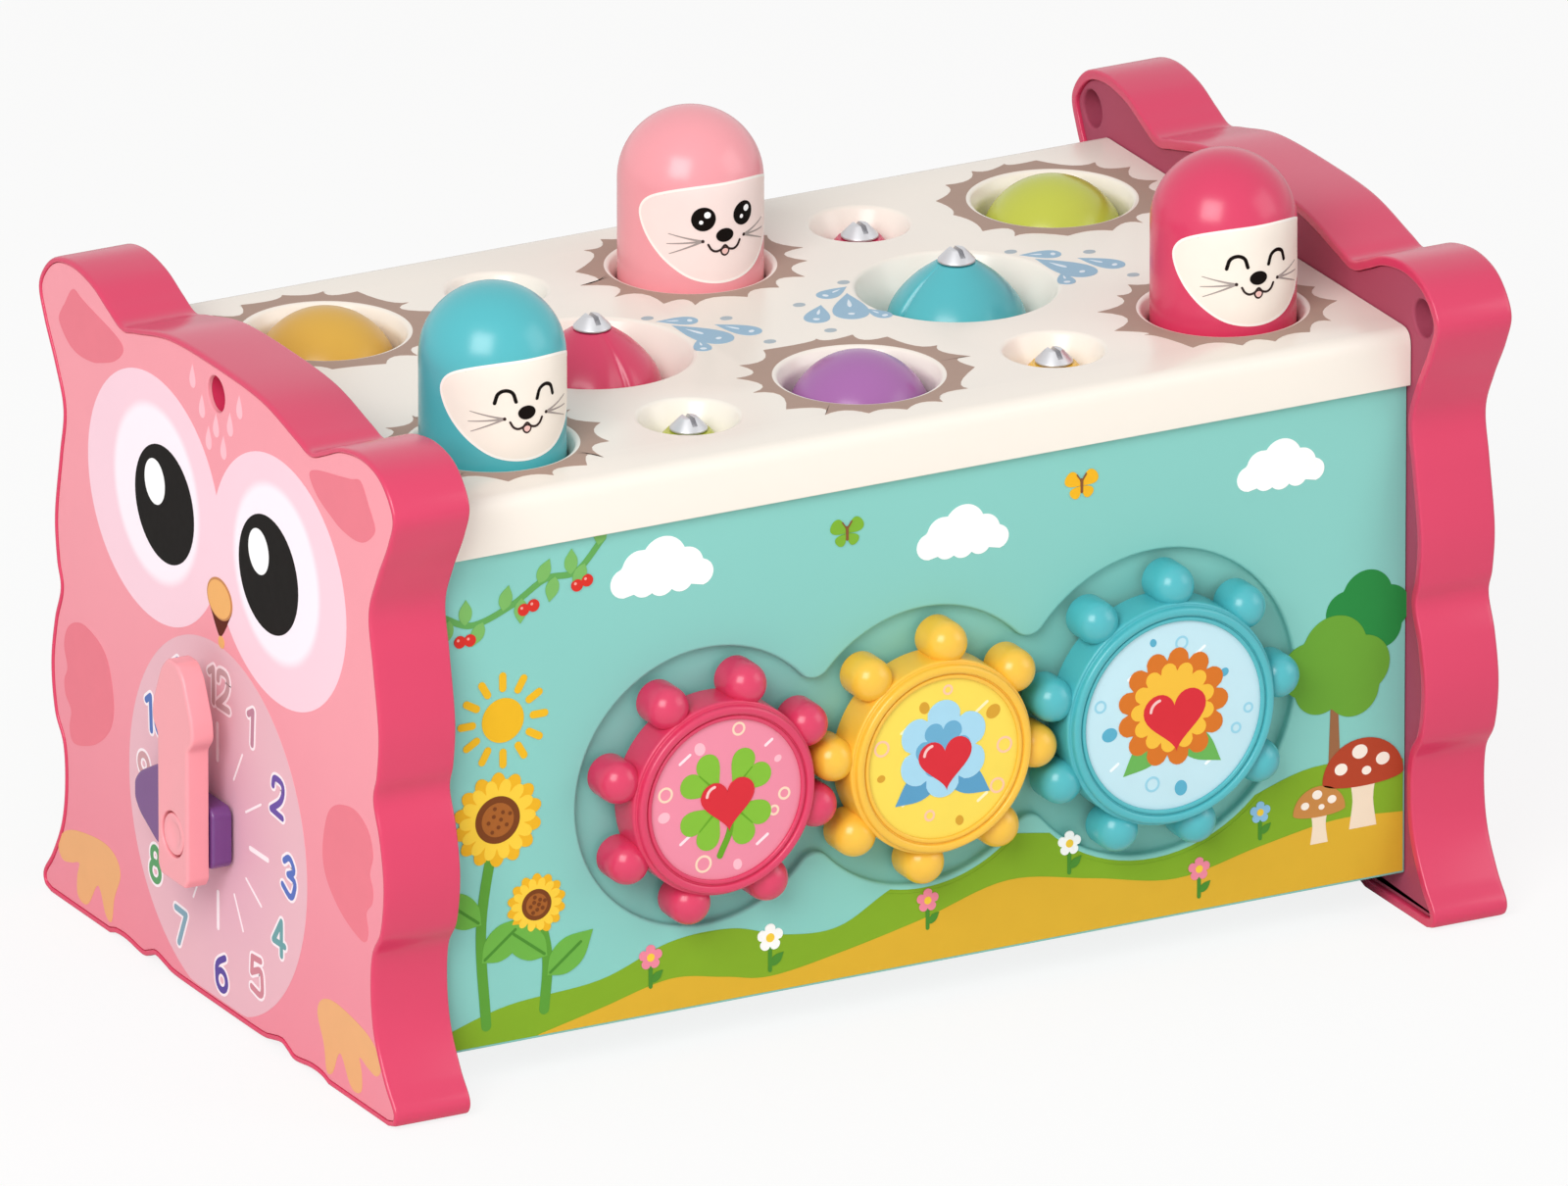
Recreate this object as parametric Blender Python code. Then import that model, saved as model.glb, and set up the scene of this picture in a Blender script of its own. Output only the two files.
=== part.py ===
"""A children's pounding and activity box between two owl-shaped ends.

X runs along the box, from the clock end (-X) to the plain end (+X). Y runs from the gear
front (-Y) to the back, and Z runs up from the surface that the owl feet stand on.
Six moles stand in the deck in pairs, one in front and one behind. A rocker under each pair
lifts one mole when the other is pounded down. Three knob gears mesh on the front, a clock
with two hands sits on the left owl, and fish and worms lift out of funnels in the deck.
"""
import math

import bmesh
import bpy
from mathutils import Matrix, Vector

# Overall sizes, in metres
BOX_LENGTH = 0.290
END_THICKNESS = 0.0195
END_HALF_WIDTH = 0.089
END_HEIGHT = 0.1596
DECK_SHARE = 0.9023

# Gaps between pieces, and how cutters and joined forms run past a face
FIT = 0.0003
SLIDE_GAP = 0.0005
OVERRUN = 0.002
EMBED = 0.0006
ROUND_STEPS = 18
SMALL_STEPS = 10
TINY_STEPS = 8
SMOOTH_ANGLE = math.radians(35)
QUARTER_TURN = math.radians(90)
FULL_TURN = math.radians(360)

# Owl outline of the ends: half outline from the top of the head, down the side, to the
# outer corner of the foot, as shares of the half width and of the height
OWL_SIDE_SHARES = (
    (0.000, 0.9925), (0.258, 0.9875), (0.450, 0.9635), (0.528, 0.9540), (0.600, 0.9685),
    (0.697, 0.9910), (0.820, 1.0000), (0.930, 0.9840), (1.000, 0.9370), (0.974, 0.8870),
    (0.910, 0.8240), (0.866, 0.7640), (0.888, 0.6920), (0.918, 0.5950), (0.908, 0.5260),
    (0.888, 0.4850), (0.922, 0.4320), (0.944, 0.3600), (0.925, 0.2880), (0.878, 0.2440),
    (0.870, 0.1820), (0.890, 0.1220), (0.944, 0.0660), (0.994, 0.0300), (0.988, 0.0080),
    (0.950, 0.0000))
# The underside between the feet, as shares of the same two sizes
OWL_UNDERSIDE_SHARES = (
    (0.618, 0.0000), (0.545, 0.0075), (0.430, 0.0010), (0.354, 0.0138), (0.250, 0.0038))
OWL_WAIST_SHARE = 0.8655
SPLINE_STEPS = 5
OUTLINE_TOLERANCE = 0.00042

# End shell, face plate and inner cover
SHELL_WALL = 0.0024
SHELL_FLOOR = 0.0022
RIM_ROUND = 0.0009
PLATE_INSET = 0.0013
PLATE_THICKNESS = 0.0015
COVER_THICKNESS = 0.0025
COVER_SETBACK = 0.0008
EAR_SHARES = (0.8990, 0.9300)
EAR_CUP_RADIUS = 0.0045
EAR_CUP_WALL = 0.0014
EAR_CUP_DEPTH = 0.0070
EAR_POST_RADIUS = 0.0046
EAR_POST_CAP = 0.0010
SCREW_HEAD_RADIUS = 0.0034
SCREW_HEAD_HEIGHT = 0.0022
SCREW_SHANK_RADIUS = 0.0016
SCREW_LENGTH = 0.0060
BROW_HOLE_RADIUS = 0.00435
BROW_HOLE_DEPTH = 0.0140
BROW_HOLE_SHARE = 0.9442
BROW_TUBE_WALL = 0.0016

# Box: deck, panels and base
PANEL_MARGIN = 0.0016
PANEL_THICKNESS = 0.0025
PANEL_BOTTOM = 0.0096
DECK_OVERHANG = 0.0020
DECK_PLATE = 0.0030
DECK_FASCIA = 0.0137
DECK_ROUND = 0.0030
DECK_ROUND_STEPS = 3
BASE_THICKNESS = 0.0025

# Moles: places as shares of the half length and half width of the deck
COLUMN_SHARE = 0.754
ROW_SHARE = 0.5533
MOLE_RADIUS = 0.0170
MOLE_WALL = 0.0020
MOLE_LENGTH = 0.0525
MOLE_DOME_HEIGHT = 0.0169
MOLE_DOME_STEPS = 4
STROKE = 0.0332
MOLE_HOLE_RIM = 0.0192
MOLE_HOLE_CHAMFER = 0.0030
COLLAR_DEPTH = 0.0140
COLLAR_WALL = 0.0020
STEM_RADIUS = 0.0060
STEM_PLUG_HEIGHT = 0.0045
FLANGE_RADIUS = 0.0190
FLANGE_THICKNESS = 0.0020
GUIDE_THICKNESS = 0.0030
GUIDE_EDGE = 0.0035

# Rockers under the moles
PIVOT_DROP = 0.0312
ROD_RADIUS = 0.0030
ROCKER_HUB_RADIUS = 0.0065
ROCKER_PAD_RADIUS = 0.0040
ROCKER_ARM_HALF = 0.0026
ROCKER_WIDTH = 0.0120
ROCKER_RIM = 0.0013
ROCKER_WEB = 0.0050
PAD_GAP = 0.0004
BRACKET_THICKNESS = 0.0040
BRACKET_FOOT_SHARE = 0.60
BRACKET_HEAD_SHARE = 0.40
ROD_BOSS_RADIUS = 0.0065
ROD_BOSS_LENGTH = 0.0055

# Fish and worms, and the funnels that they stand in
FISH_FUNNEL_RADIUS = 0.0237
FISH_POCKET_RADIUS = 0.0172
FISH_FUNNEL_DEPTH = 0.0120
FISH_POCKET_DEPTH = 0.0360
FISH_RADIUS = 0.0165
FISH_RISE = 0.0060
FISH_PROFILE_SHARES = (
    (0.42, 1.00), (0.78, 0.82), (1.00, 0.55), (1.00, 0.37), (0.935, 0.26), (0.80, 0.175),
    (0.61, 0.095), (0.45, 0.045), (0.285, 0.00))
WORM_FUNNEL_RADIUS = 0.0120
WORM_POCKET_RADIUS = 0.0071
WORM_FUNNEL_DEPTH = 0.0080
WORM_POCKET_DEPTH = 0.0240
WORM_ROW_SHARE = 0.6333
WORM_RADIUS = 0.0066
WORM_SINK = 0.0033
WORM_PROFILE_SHARES = (
    (0.70, 1.00), (1.00, 0.84), (1.00, 0.62), (0.80, 0.46), (1.00, 0.30), (1.00, 0.10),
    (0.78, 0.00))
POCKET_WALL = 0.0018
TIP_RADIUS = 0.0044
TIP_HEIGHT = 0.0030
TIP_PROFILE_SHARES = ((1.0, 0.0), (1.0, 0.14), (0.74, 0.60), (0.42, 1.0))
TIP_SLOT_WIDTH = 0.0011
TIP_SLOT_DEPTH = 0.0013
TIP_PIN_RADIUS = 0.0018
TIP_PIN_LENGTH = 0.0050

# Gears on the front, laid out from the middle one
GEAR_HEIGHT = 0.0635
GEAR_MODULE = 0.00705
GEAR_KNOBS = {"gear_crimson": 8, "gear_yellow": 8, "gear_teal": 9}
MIDDLE_GEAR_TURN = math.radians(38.5)
KNOB_RADIUS = 0.0052
KNOB_SINK = 0.0017
KNOB_STEPS = 6
HUB_STEPS = 1
HUB_SINK = 0.0046
GEAR_THICKNESS = 0.0095
KNOB_ROUND = 0.0018
BEZEL_HEIGHT = 0.0018
BEZEL_SINK = 0.0055
BEZEL_WIDTH = 0.0026
DISC_THICKNESS = 0.0009
DISC_SINK = 0.0012
BOSS_HEIGHT = 0.0015
BOSS_RADIUS = 0.0070
BOSS_LENGTH = 0.0060
AXLE_RADIUS = 0.0035
AXLE_HEAD_RADIUS = 0.0060
AXLE_HEAD_HEIGHT = 0.0020
AXLE_END_CAP = 0.0010
RECESS_DEPTH = 0.0025
RECESS_MARGIN = 0.0020
RECESS_FILLET = 0.0045
RECESS_STEP = math.radians(15)
FILLET_STEPS = 3

# Clock on the left end
CLOCK_HEIGHT = 0.0450
HAND_STANDOFF = 0.0005
HOUR_THICKNESS = 0.0050
HAND_GAP = 0.0004
MINUTE_THICKNESS = 0.0056
HAND_ROUND = 0.0006
HAND_HALF_WIDTH = 0.0075
HAND_HEAD_HALF_WIDTH = 0.0102
MINUTE_TIP = 0.0424
MINUTE_TAIL = 0.0115
HOUR_TIP = 0.0310
HOUR_TAIL = 0.0085
# Arrow head: across as shares of the head's half width, along as shares of the tip
MINUTE_HEAD_SHARES = ((0.75, 0.53), (1.00, 0.60), (0.97, 0.70), (0.55, 0.93), (0.25, 1.0))
HOUR_HEAD_SHARES = ((0.75, 0.40), (1.00, 0.50), (0.95, 0.64), (0.50, 0.92), (0.22, 1.0))
# Tail: across as shares of the hand's half width, along as shares of the tail
TAIL_SHARES = ((0.80, 1.0), (1.0, 0.82))
SPINDLE_RADIUS = 0.0030
SPINDLE_HEAD_RADIUS = 0.0050
SPINDLE_HEAD_HEIGHT = 0.0016
SPINDLE_INSIDE = 0.0030

# Finishes: colour, roughness, metallic
FINISHES = {
    "crimson_plastic": ((0.69, 0.045, 0.12, 1), 0.32, 0.0),
    "dull_crimson_plastic": ((0.38, 0.05, 0.10, 1), 0.45, 0.0),
    "pink_print": ((0.90, 0.34, 0.39, 1), 0.40, 0.0),
    "cream_plastic": ((0.93, 0.86, 0.77, 1), 0.35, 0.0),
    "teal_panel": ((0.24, 0.60, 0.54, 1), 0.40, 0.0),
    "teal_plastic": ((0.08, 0.46, 0.51, 1), 0.30, 0.0),
    "pink_plastic": ((0.90, 0.35, 0.39, 1), 0.32, 0.0),
    "yellow_plastic": ((0.90, 0.52, 0.05, 1), 0.30, 0.0),
    "green_plastic": ((0.52, 0.56, 0.06, 1), 0.32, 0.0),
    "purple_plastic": ((0.37, 0.13, 0.38, 1), 0.32, 0.0),
    "grey_plastic": ((0.35, 0.36, 0.38, 1), 0.50, 0.0),
    "steel": ((0.62, 0.62, 0.64, 1), 0.18, 1.0),
    "disc_print": ((0.91, 0.45, 0.52, 1), 0.35, 0.0),
}

# Sizes worked out from those above
HALF_LENGTH = BOX_LENGTH / 2
SHELL_BACK = HALF_LENGTH - END_THICKNESS
PLATE_SEAT = HALF_LENGTH - PLATE_THICKNESS - FIT
SHELL_INSIDE = PLATE_SEAT - SHELL_FLOOR
COVER_FACE = SHELL_BACK + COVER_SETBACK
COVER_INSIDE = COVER_FACE + COVER_THICKNESS
BOX_HALF_LENGTH = COVER_FACE - FIT
DECK_TOP = END_HEIGHT * DECK_SHARE
DECK_UNDERSIDE = DECK_TOP - DECK_PLATE
PANEL_FACE = END_HALF_WIDTH * OWL_WAIST_SHARE - SHELL_WALL - PANEL_MARGIN
PANEL_BACK = PANEL_FACE - PANEL_THICKNESS
PANEL_TOP = DECK_UNDERSIDE - FIT
DECK_HALF_WIDTH = PANEL_FACE + DECK_OVERHANG
COLUMN_PITCH = BOX_HALF_LENGTH * COLUMN_SHARE
ROW = DECK_HALF_WIDTH * ROW_SHARE
WORM_ROW = DECK_HALF_WIDTH * WORM_ROW_SHARE
MOLE_BORE = MOLE_RADIUS + SLIDE_GAP
COLLAR_BOTTOM = DECK_TOP - COLLAR_DEPTH
FLANGE_TOP = COLLAR_BOTTOM - FIT
MOLE_BOTTOM = FLANGE_TOP + FIT
FLANGE_BOTTOM = FLANGE_TOP - FLANGE_THICKNESS
GUIDE_TOP = FLANGE_BOTTOM - STROKE - FIT
GUIDE_BOTTOM = GUIDE_TOP - GUIDE_THICKNESS
PIVOT_HEIGHT = GUIDE_BOTTOM - PIVOT_DROP
TILT = math.asin(STROKE / 2 / ROW)
STEM_BOTTOM = PIVOT_HEIGHT + STROKE / 2 + ROCKER_PAD_RADIUS + PAD_GAP
BASE_TOP = PANEL_BOTTOM + BASE_THICKNESS
RECESS_FLOOR = PANEL_FACE - RECESS_DEPTH
GEAR_BACK = RECESS_FLOOR + BOSS_HEIGHT + FIT
GEAR_FRONT = GEAR_BACK + GEAR_THICKNESS
BEZEL_FRONT = GEAR_FRONT + BEZEL_HEIGHT
DISC_FRONT = BEZEL_FRONT - DISC_SINK
DISC_SEAT = DISC_FRONT - DISC_THICKNESS - FIT
AXLE_END = RECESS_FLOOR - PANEL_THICKNESS - BOSS_LENGTH + AXLE_END_CAP + FIT
PLATE_FRONT = HALF_LENGTH
HOUR_BACK = PLATE_FRONT + HAND_STANDOFF
HOUR_FRONT = HOUR_BACK + HOUR_THICKNESS
MINUTE_BACK = HOUR_FRONT + HAND_GAP
MINUTE_FRONT = MINUTE_BACK + MINUTE_THICKNESS
BOX_SHIFT = (MINUTE_FRONT - HALF_LENGTH) / 2


def finish(name):
    """The material of that name, made once."""
    material = bpy.data.materials.get(name)
    if material is None:
        colour, roughness, metallic = FINISHES[name]
        material = bpy.data.materials.new(name)
        material.use_nodes = True
        shader = material.node_tree.nodes["Principled BSDF"]
        shader.inputs["Base Color"].default_value = colour
        shader.inputs["Roughness"].default_value = roughness
        shader.inputs["Metallic"].default_value = metallic
        material.diffuse_color = colour
    return material


def loft(rings):
    """One closed body through the rings, with its first and last ring capped."""
    mesh = bmesh.new()
    loops = [[mesh.verts.new(point) for point in ring] for ring in rings]
    for lower, upper in zip(loops, loops[1:]):
        for i in range(len(lower)):
            j = (i + 1) % len(lower)
            mesh.faces.new((lower[i], lower[j], upper[j], upper[i]))
    mesh.faces.new(loops[0])
    mesh.faces.new(loops[-1])
    bmesh.ops.recalc_face_normals(mesh, faces=mesh.faces)
    return mesh


def lathe(profile, steps=ROUND_STEPS, closed=False):
    """A body turned about Z from (radius, height) points; a closed profile makes a ring."""
    mesh = bmesh.new()
    rows = []
    for radius, height in profile:
        if radius == 0:
            rows.append([mesh.verts.new((0, 0, height))])
            continue
        turns = [FULL_TURN * i / steps for i in range(steps)]
        rows.append([mesh.verts.new((radius * math.cos(a), radius * math.sin(a), height))
                     for a in turns])
    pairs = list(zip(rows, rows[1:]))
    if closed:
        pairs.append((rows[-1], rows[0]))
    for lower, upper in pairs:
        for i in range(steps):
            j = (i + 1) % steps
            corners = (lower[i % len(lower)], lower[j % len(lower)],
                       upper[j % len(upper)], upper[i % len(upper)])
            mesh.faces.new(list(dict.fromkeys(corners)))
    bmesh.ops.recalc_face_normals(mesh, faces=mesh.faces)
    return mesh


def cylinder(radius, low, high, steps=SMALL_STEPS):
    """A round bar on Z between two heights."""
    return lathe(((0, low), (radius, low), (radius, high), (0, high)), steps)


def block(low, high):
    """A rectangular block between two corners."""
    (x0, y0, z0), (x1, y1, z1) = low, high
    return loft([[(x0, y0, z), (x1, y0, z), (x1, y1, z), (x0, y1, z)] for z in (z0, z1)])


def along(mesh, direction, place=(0, 0, 0)):
    """The mesh with its Z axis turned to a direction, and then moved to a place."""
    turn = Vector((0, 0, 1)).rotation_difference(Vector(direction)).to_matrix().to_4x4()
    bmesh.ops.transform(mesh, matrix=Matrix.Translation(place) @ turn, verts=mesh.verts)
    return mesh


def gathered(meshes):
    """Several meshes as one, with their bodies still separate."""
    whole = bmesh.new()
    for mesh in meshes:
        part = bpy.data.meshes.new("part")
        mesh.to_mesh(part)
        mesh.free()
        whole.from_mesh(part)
        bpy.data.meshes.remove(part)
    return whole


def add_object(name, mesh, material, parent, origin=(0, 0, 0)):
    """An object from a mesh in the box's frame, with its own origin at a place."""
    bmesh.ops.translate(mesh, vec=-Vector(origin), verts=mesh.verts)
    data = bpy.data.meshes.new(name)
    mesh.to_mesh(data)
    mesh.free()
    data.shade_smooth()
    data.set_sharp_from_angle(angle=SMOOTH_ANGLE)
    if material:
        data.materials.append(finish(material))
    thing = bpy.data.objects.new(name, data)
    thing.location = origin
    thing.parent = parent
    bpy.context.scene.collection.objects.link(thing)
    return thing


def combine(target, mesh, operation):
    """Join a mesh to an object, or cut it from the object, with an exact Boolean."""
    tool_name = f"{target.name}_{operation.lower()}_{len(target.modifiers)}"
    tool = add_object(tool_name, mesh, None, target.parent)
    tool.hide_render = True
    tool.display_type = "WIRE"
    modifier = target.modifiers.new(tool_name, "BOOLEAN")
    modifier.operation = operation
    modifier.solver = "EXACT"
    modifier.object = tool


def join(target, mesh):
    """Add a mesh to an object."""
    combine(target, mesh, "UNION")


def cut(target, mesh):
    """Cut a mesh out of an object."""
    combine(target, mesh, "DIFFERENCE")


def arc(centre, radius, start, end, steps):
    """Points on an arc, from the start angle to the end angle."""
    angles = [start + (end - start) * i / steps for i in range(steps + 1)]
    return [(centre[0] + radius * math.cos(a), centre[1] + radius * math.sin(a)) for a in angles]


def spline(points, before, after):
    """A smooth curve through the points, between the two guiding points outside its ends."""
    guides = [Vector(before)] + [Vector(point) for point in points] + [Vector(after)]
    curve = []
    for a, b, c, d in zip(guides, guides[1:], guides[2:], guides[3:]):
        for i in range(SPLINE_STEPS):
            t = i / SPLINE_STEPS
            curve.append((b * 2 + (c - a) * t + (a * 2 - b * 5 + c * 4 - d) * t ** 2
                          + (b * 3 - a - c * 3 + d) * t ** 3) / 2)
    return curve + [guides[-2]]


def thinned(points, tolerance):
    """The points that an open line needs to stay within a tolerance."""
    first, last = points[0], points[-1]
    run = (last - first).normalized()
    offsets = [abs(run.cross(point - first)) for point in points]
    furthest = max(range(len(points)), key=offsets.__getitem__)
    if offsets[furthest] <= tolerance:
        return [first, last]
    return thinned(points[:furthest + 1], tolerance)[:-1] + thinned(points[furthest:], tolerance)


def inset(loop, distance):
    """A loop that runs anticlockwise, moved inwards, each corner along its bisector."""
    moved = []
    for i, here in enumerate(loop):
        inward = (Vector(here) - Vector(loop[i - 1])).normalized()
        outward = (Vector(loop[(i + 1) % len(loop)]) - Vector(here)).normalized()
        bisector = Vector((-inward.y, inward.x)) + Vector((-outward.y, outward.x))
        moved.append(Vector(here) + bisector * (distance / (1 + inward.dot(outward))))
    return moved


def owl_outline(distance=0):
    """The owl outline in Y and Z, anticlockwise, moved inwards by a distance."""
    side = [Vector((y * END_HALF_WIDTH, z * END_HEIGHT)) for y, z in OWL_SIDE_SHARES]
    mirrored = Vector((-side[1].x, side[1].y))
    curve = thinned(spline(side, mirrored, side[-1] * 2 - side[-2]), OUTLINE_TOLERANCE)
    half = curve + [Vector((y * END_HALF_WIDTH, z * END_HEIGHT)) for y, z in OWL_UNDERSIDE_SHARES]
    other = [Vector((-point.x, point.y)) for point in half[1:]]
    return inset(list(reversed(half[1:])) + [half[0]] + other, distance)


def end_rings(side, stations):
    """Owl rings at distances from the middle of the box, on the side given by -1 or +1."""
    return [[(side * x, y, z) for y, z in owl_outline(distance)] for x, distance in stations]


def on_x(mesh, side, y, z):
    """A mesh turned to point out of one end of the box, at a place in Y and Z."""
    return along(mesh, (side, 0, 0), (0, y, z))


def ear_places():
    """The two ear cups, in Y and Z."""
    y, z = END_HALF_WIDTH * EAR_SHARES[0], END_HEIGHT * EAR_SHARES[1]
    return ((-y, z), (y, z))


def brow_height():
    """Height of the blind hole in the owl's forehead."""
    return END_HEIGHT * BROW_HOLE_SHARE


def end_shell(name, side, root):
    """The owl-shaped shell: rim, seat for the face plate, floor, wall, posts and brow tube."""
    shell = add_object(name, loft(end_rings(side, (
        (PLATE_SEAT, PLATE_INSET),
        (HALF_LENGTH, PLATE_INSET),
        (HALF_LENGTH, RIM_ROUND),
        (HALF_LENGTH - RIM_ROUND, 0),
        (SHELL_BACK, 0),
        (SHELL_BACK, SHELL_WALL),
        (SHELL_INSIDE, SHELL_WALL)))), "crimson_plastic", root)
    cup_end = COVER_FACE + EAR_CUP_DEPTH + EAR_CUP_WALL
    brow_end = HALF_LENGTH - BROW_HOLE_DEPTH
    posts = [on_x(cylinder(EAR_POST_RADIUS, cup_end + FIT, SHELL_INSIDE + EMBED), side, y, z)
             for y, z in ear_places()]
    posts.append(on_x(cylinder(BROW_HOLE_RADIUS + BROW_TUBE_WALL, brow_end - BROW_TUBE_WALL,
                               SHELL_INSIDE + EMBED), side, 0, brow_height()))
    join(shell, gathered(posts))
    holes = [on_x(cylinder(SCREW_SHANK_RADIUS + FIT, cup_end - OVERRUN, SHELL_INSIDE - EAR_POST_CAP,
                           TINY_STEPS), side, y, z) for y, z in ear_places()]
    holes.append(on_x(cylinder(BROW_HOLE_RADIUS, brow_end, HALF_LENGTH + OVERRUN), side, 0, brow_height()))
    if side < 0:
        holes.append(on_x(cylinder(SPINDLE_RADIUS + FIT, SHELL_INSIDE - OVERRUN, PLATE_SEAT + OVERRUN),
                          side, 0, CLOCK_HEIGHT))
    cut(shell, gathered(holes))


def face_plate(name, side, root):
    """The printed plate, with the hole in the forehead and, on the left, the clock's hole."""
    plate = add_object(name, loft(end_rings(side, (
        (HALF_LENGTH - PLATE_THICKNESS, PLATE_INSET + FIT),
        (PLATE_FRONT, PLATE_INSET + FIT)))), "pink_print", root)
    low, high = HALF_LENGTH - PLATE_THICKNESS - OVERRUN, PLATE_FRONT + OVERRUN
    holes = [on_x(cylinder(BROW_HOLE_RADIUS, low, high), side, 0, brow_height())]
    if side < 0:
        holes.append(on_x(cylinder(SPINDLE_RADIUS + FIT, low, high), side, 0, CLOCK_HEIGHT))
    cut(plate, gathered(holes))


def inner_cover(name, side, root):
    """The cover that closes an end shell, with its ear cups and the boss of the rocker rod."""
    cover = add_object(name, loft(end_rings(side, (
        (COVER_FACE, SHELL_WALL + FIT),
        (COVER_INSIDE, SHELL_WALL + FIT)))), "dull_crimson_plastic", root)
    cup_floor = COVER_FACE + EAR_CUP_DEPTH
    cup_end = cup_floor + EAR_CUP_WALL
    forms = [on_x(cylinder(EAR_CUP_RADIUS + EAR_CUP_WALL, COVER_INSIDE - EMBED, cup_end), side, y, z)
             for y, z in ear_places()]
    forms.append(on_x(cylinder(ROD_BOSS_RADIUS, COVER_FACE + EMBED, COVER_INSIDE + ROD_BOSS_LENGTH),
                      side, 0, PIVOT_HEIGHT))
    join(cover, gathered(forms))
    holes = [on_x(lathe(((0, COVER_FACE - OVERRUN), (EAR_CUP_RADIUS, COVER_FACE - OVERRUN),
                         (EAR_CUP_RADIUS, cup_floor), (SCREW_SHANK_RADIUS + FIT, cup_floor),
                         (SCREW_SHANK_RADIUS + FIT, cup_end + OVERRUN), (0, cup_end + OVERRUN)),
                        SMALL_STEPS), side, y, z) for y, z in ear_places()]
    holes.append(on_x(cylinder(ROD_RADIUS + FIT, COVER_FACE - OVERRUN, rod_end() + FIT),
                      side, 0, PIVOT_HEIGHT))
    cut(cover, gathered(holes))


def rod_end():
    """Distance of the rocker rod's ends from the middle, inside the blind bosses."""
    return COVER_INSIDE + ROD_BOSS_LENGTH - EAR_CUP_WALL


def cover_screw(name, side, place, root):
    """One screw, with its head on the floor of an ear cup."""
    seat = COVER_FACE + EAR_CUP_DEPTH - FIT
    tip = seat + SCREW_LENGTH
    profile = ((0, seat - SCREW_HEAD_HEIGHT), (SCREW_HEAD_RADIUS, seat - SCREW_HEAD_HEIGHT),
               (SCREW_HEAD_RADIUS, seat), (SCREW_SHANK_RADIUS, seat), (SCREW_SHANK_RADIUS, tip), (0, tip))
    add_object(name, on_x(lathe(profile, TINY_STEPS), side, *place), "steel", root)


def make_ends(root):
    """Both owl ends with their plates, covers and screws."""
    for hand, side in (("left", -1), ("right", 1)):
        end_shell(f"{hand}_end_shell", side, root)
        face_plate(f"{hand}_face_plate", side, root)
        inner_cover(f"{hand}_inner_cover", side, root)
        for row, place in zip(("front", "back"), ear_places()):
            cover_screw(f"cover_screw_{hand}_{row}", side, place, root)


def columns():
    """The three mole columns along X, by name."""
    return {"left": -COLUMN_PITCH, "middle": 0, "right": COLUMN_PITCH}


def mole_places():
    """Each mole: its colour, column, row direction and whether it stands up."""
    return (("teal", "left", -1, True), ("yellow", "left", 1, False),
            ("purple", "middle", -1, False), ("pink", "middle", 1, True),
            ("crimson", "right", -1, True), ("green", "right", 1, False))


def fish_places():
    """The two fish by colour, between the mole columns."""
    return {"crimson": -COLUMN_PITCH / 2, "teal": COLUMN_PITCH / 2}


def worm_places():
    """The four worms by colour, at the corners round the fish."""
    return {"green": (-COLUMN_PITCH / 2, -WORM_ROW), "teal": (-COLUMN_PITCH / 2, WORM_ROW),
            "yellow": (COLUMN_PITCH / 2, -WORM_ROW), "red": (COLUMN_PITCH / 2, WORM_ROW)}


def deck_profile():
    """The deck's section in Y and Z: a plate with rounded edges and a skirt on both sides."""
    skirt = PANEL_FACE + FIT
    bottom = DECK_TOP - DECK_FASCIA
    corner = (DECK_HALF_WIDTH - DECK_ROUND, DECK_TOP - DECK_ROUND)
    right = [(skirt, DECK_UNDERSIDE), (skirt, bottom), (DECK_HALF_WIDTH, bottom)]
    right += arc(corner, DECK_ROUND, 0, QUARTER_TURN, DECK_ROUND_STEPS)
    return right + [(-y, z) for y, z in reversed(right)]


def funnel(rim, funnel_depth, bore, bore_depth, steps):
    """A cutter for a funnel with a straight pocket under it, below the deck's top."""
    flare = (rim - bore) / funnel_depth * OVERRUN
    top = DECK_TOP + OVERRUN
    bottom = DECK_TOP - bore_depth
    profile = ((0, bottom), (bore, bottom), (bore, DECK_TOP - funnel_depth), (rim + flare, top), (0, top))
    return lathe(profile, steps)


def pocket_wall(rim, funnel_depth, bore, bore_depth, steps):
    """The outside of a funnel's wall, joined to the deck's plate."""
    top = DECK_UNDERSIDE + EMBED
    upper = rim - (rim - bore) * (DECK_TOP - top) / funnel_depth + POCKET_WALL
    bottom = DECK_TOP - bore_depth - POCKET_WALL
    return lathe(((0, bottom), (bore + POCKET_WALL, bottom), (bore + POCKET_WALL, DECK_TOP - funnel_depth),
                  (upper, top), (0, top)), steps)


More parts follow.
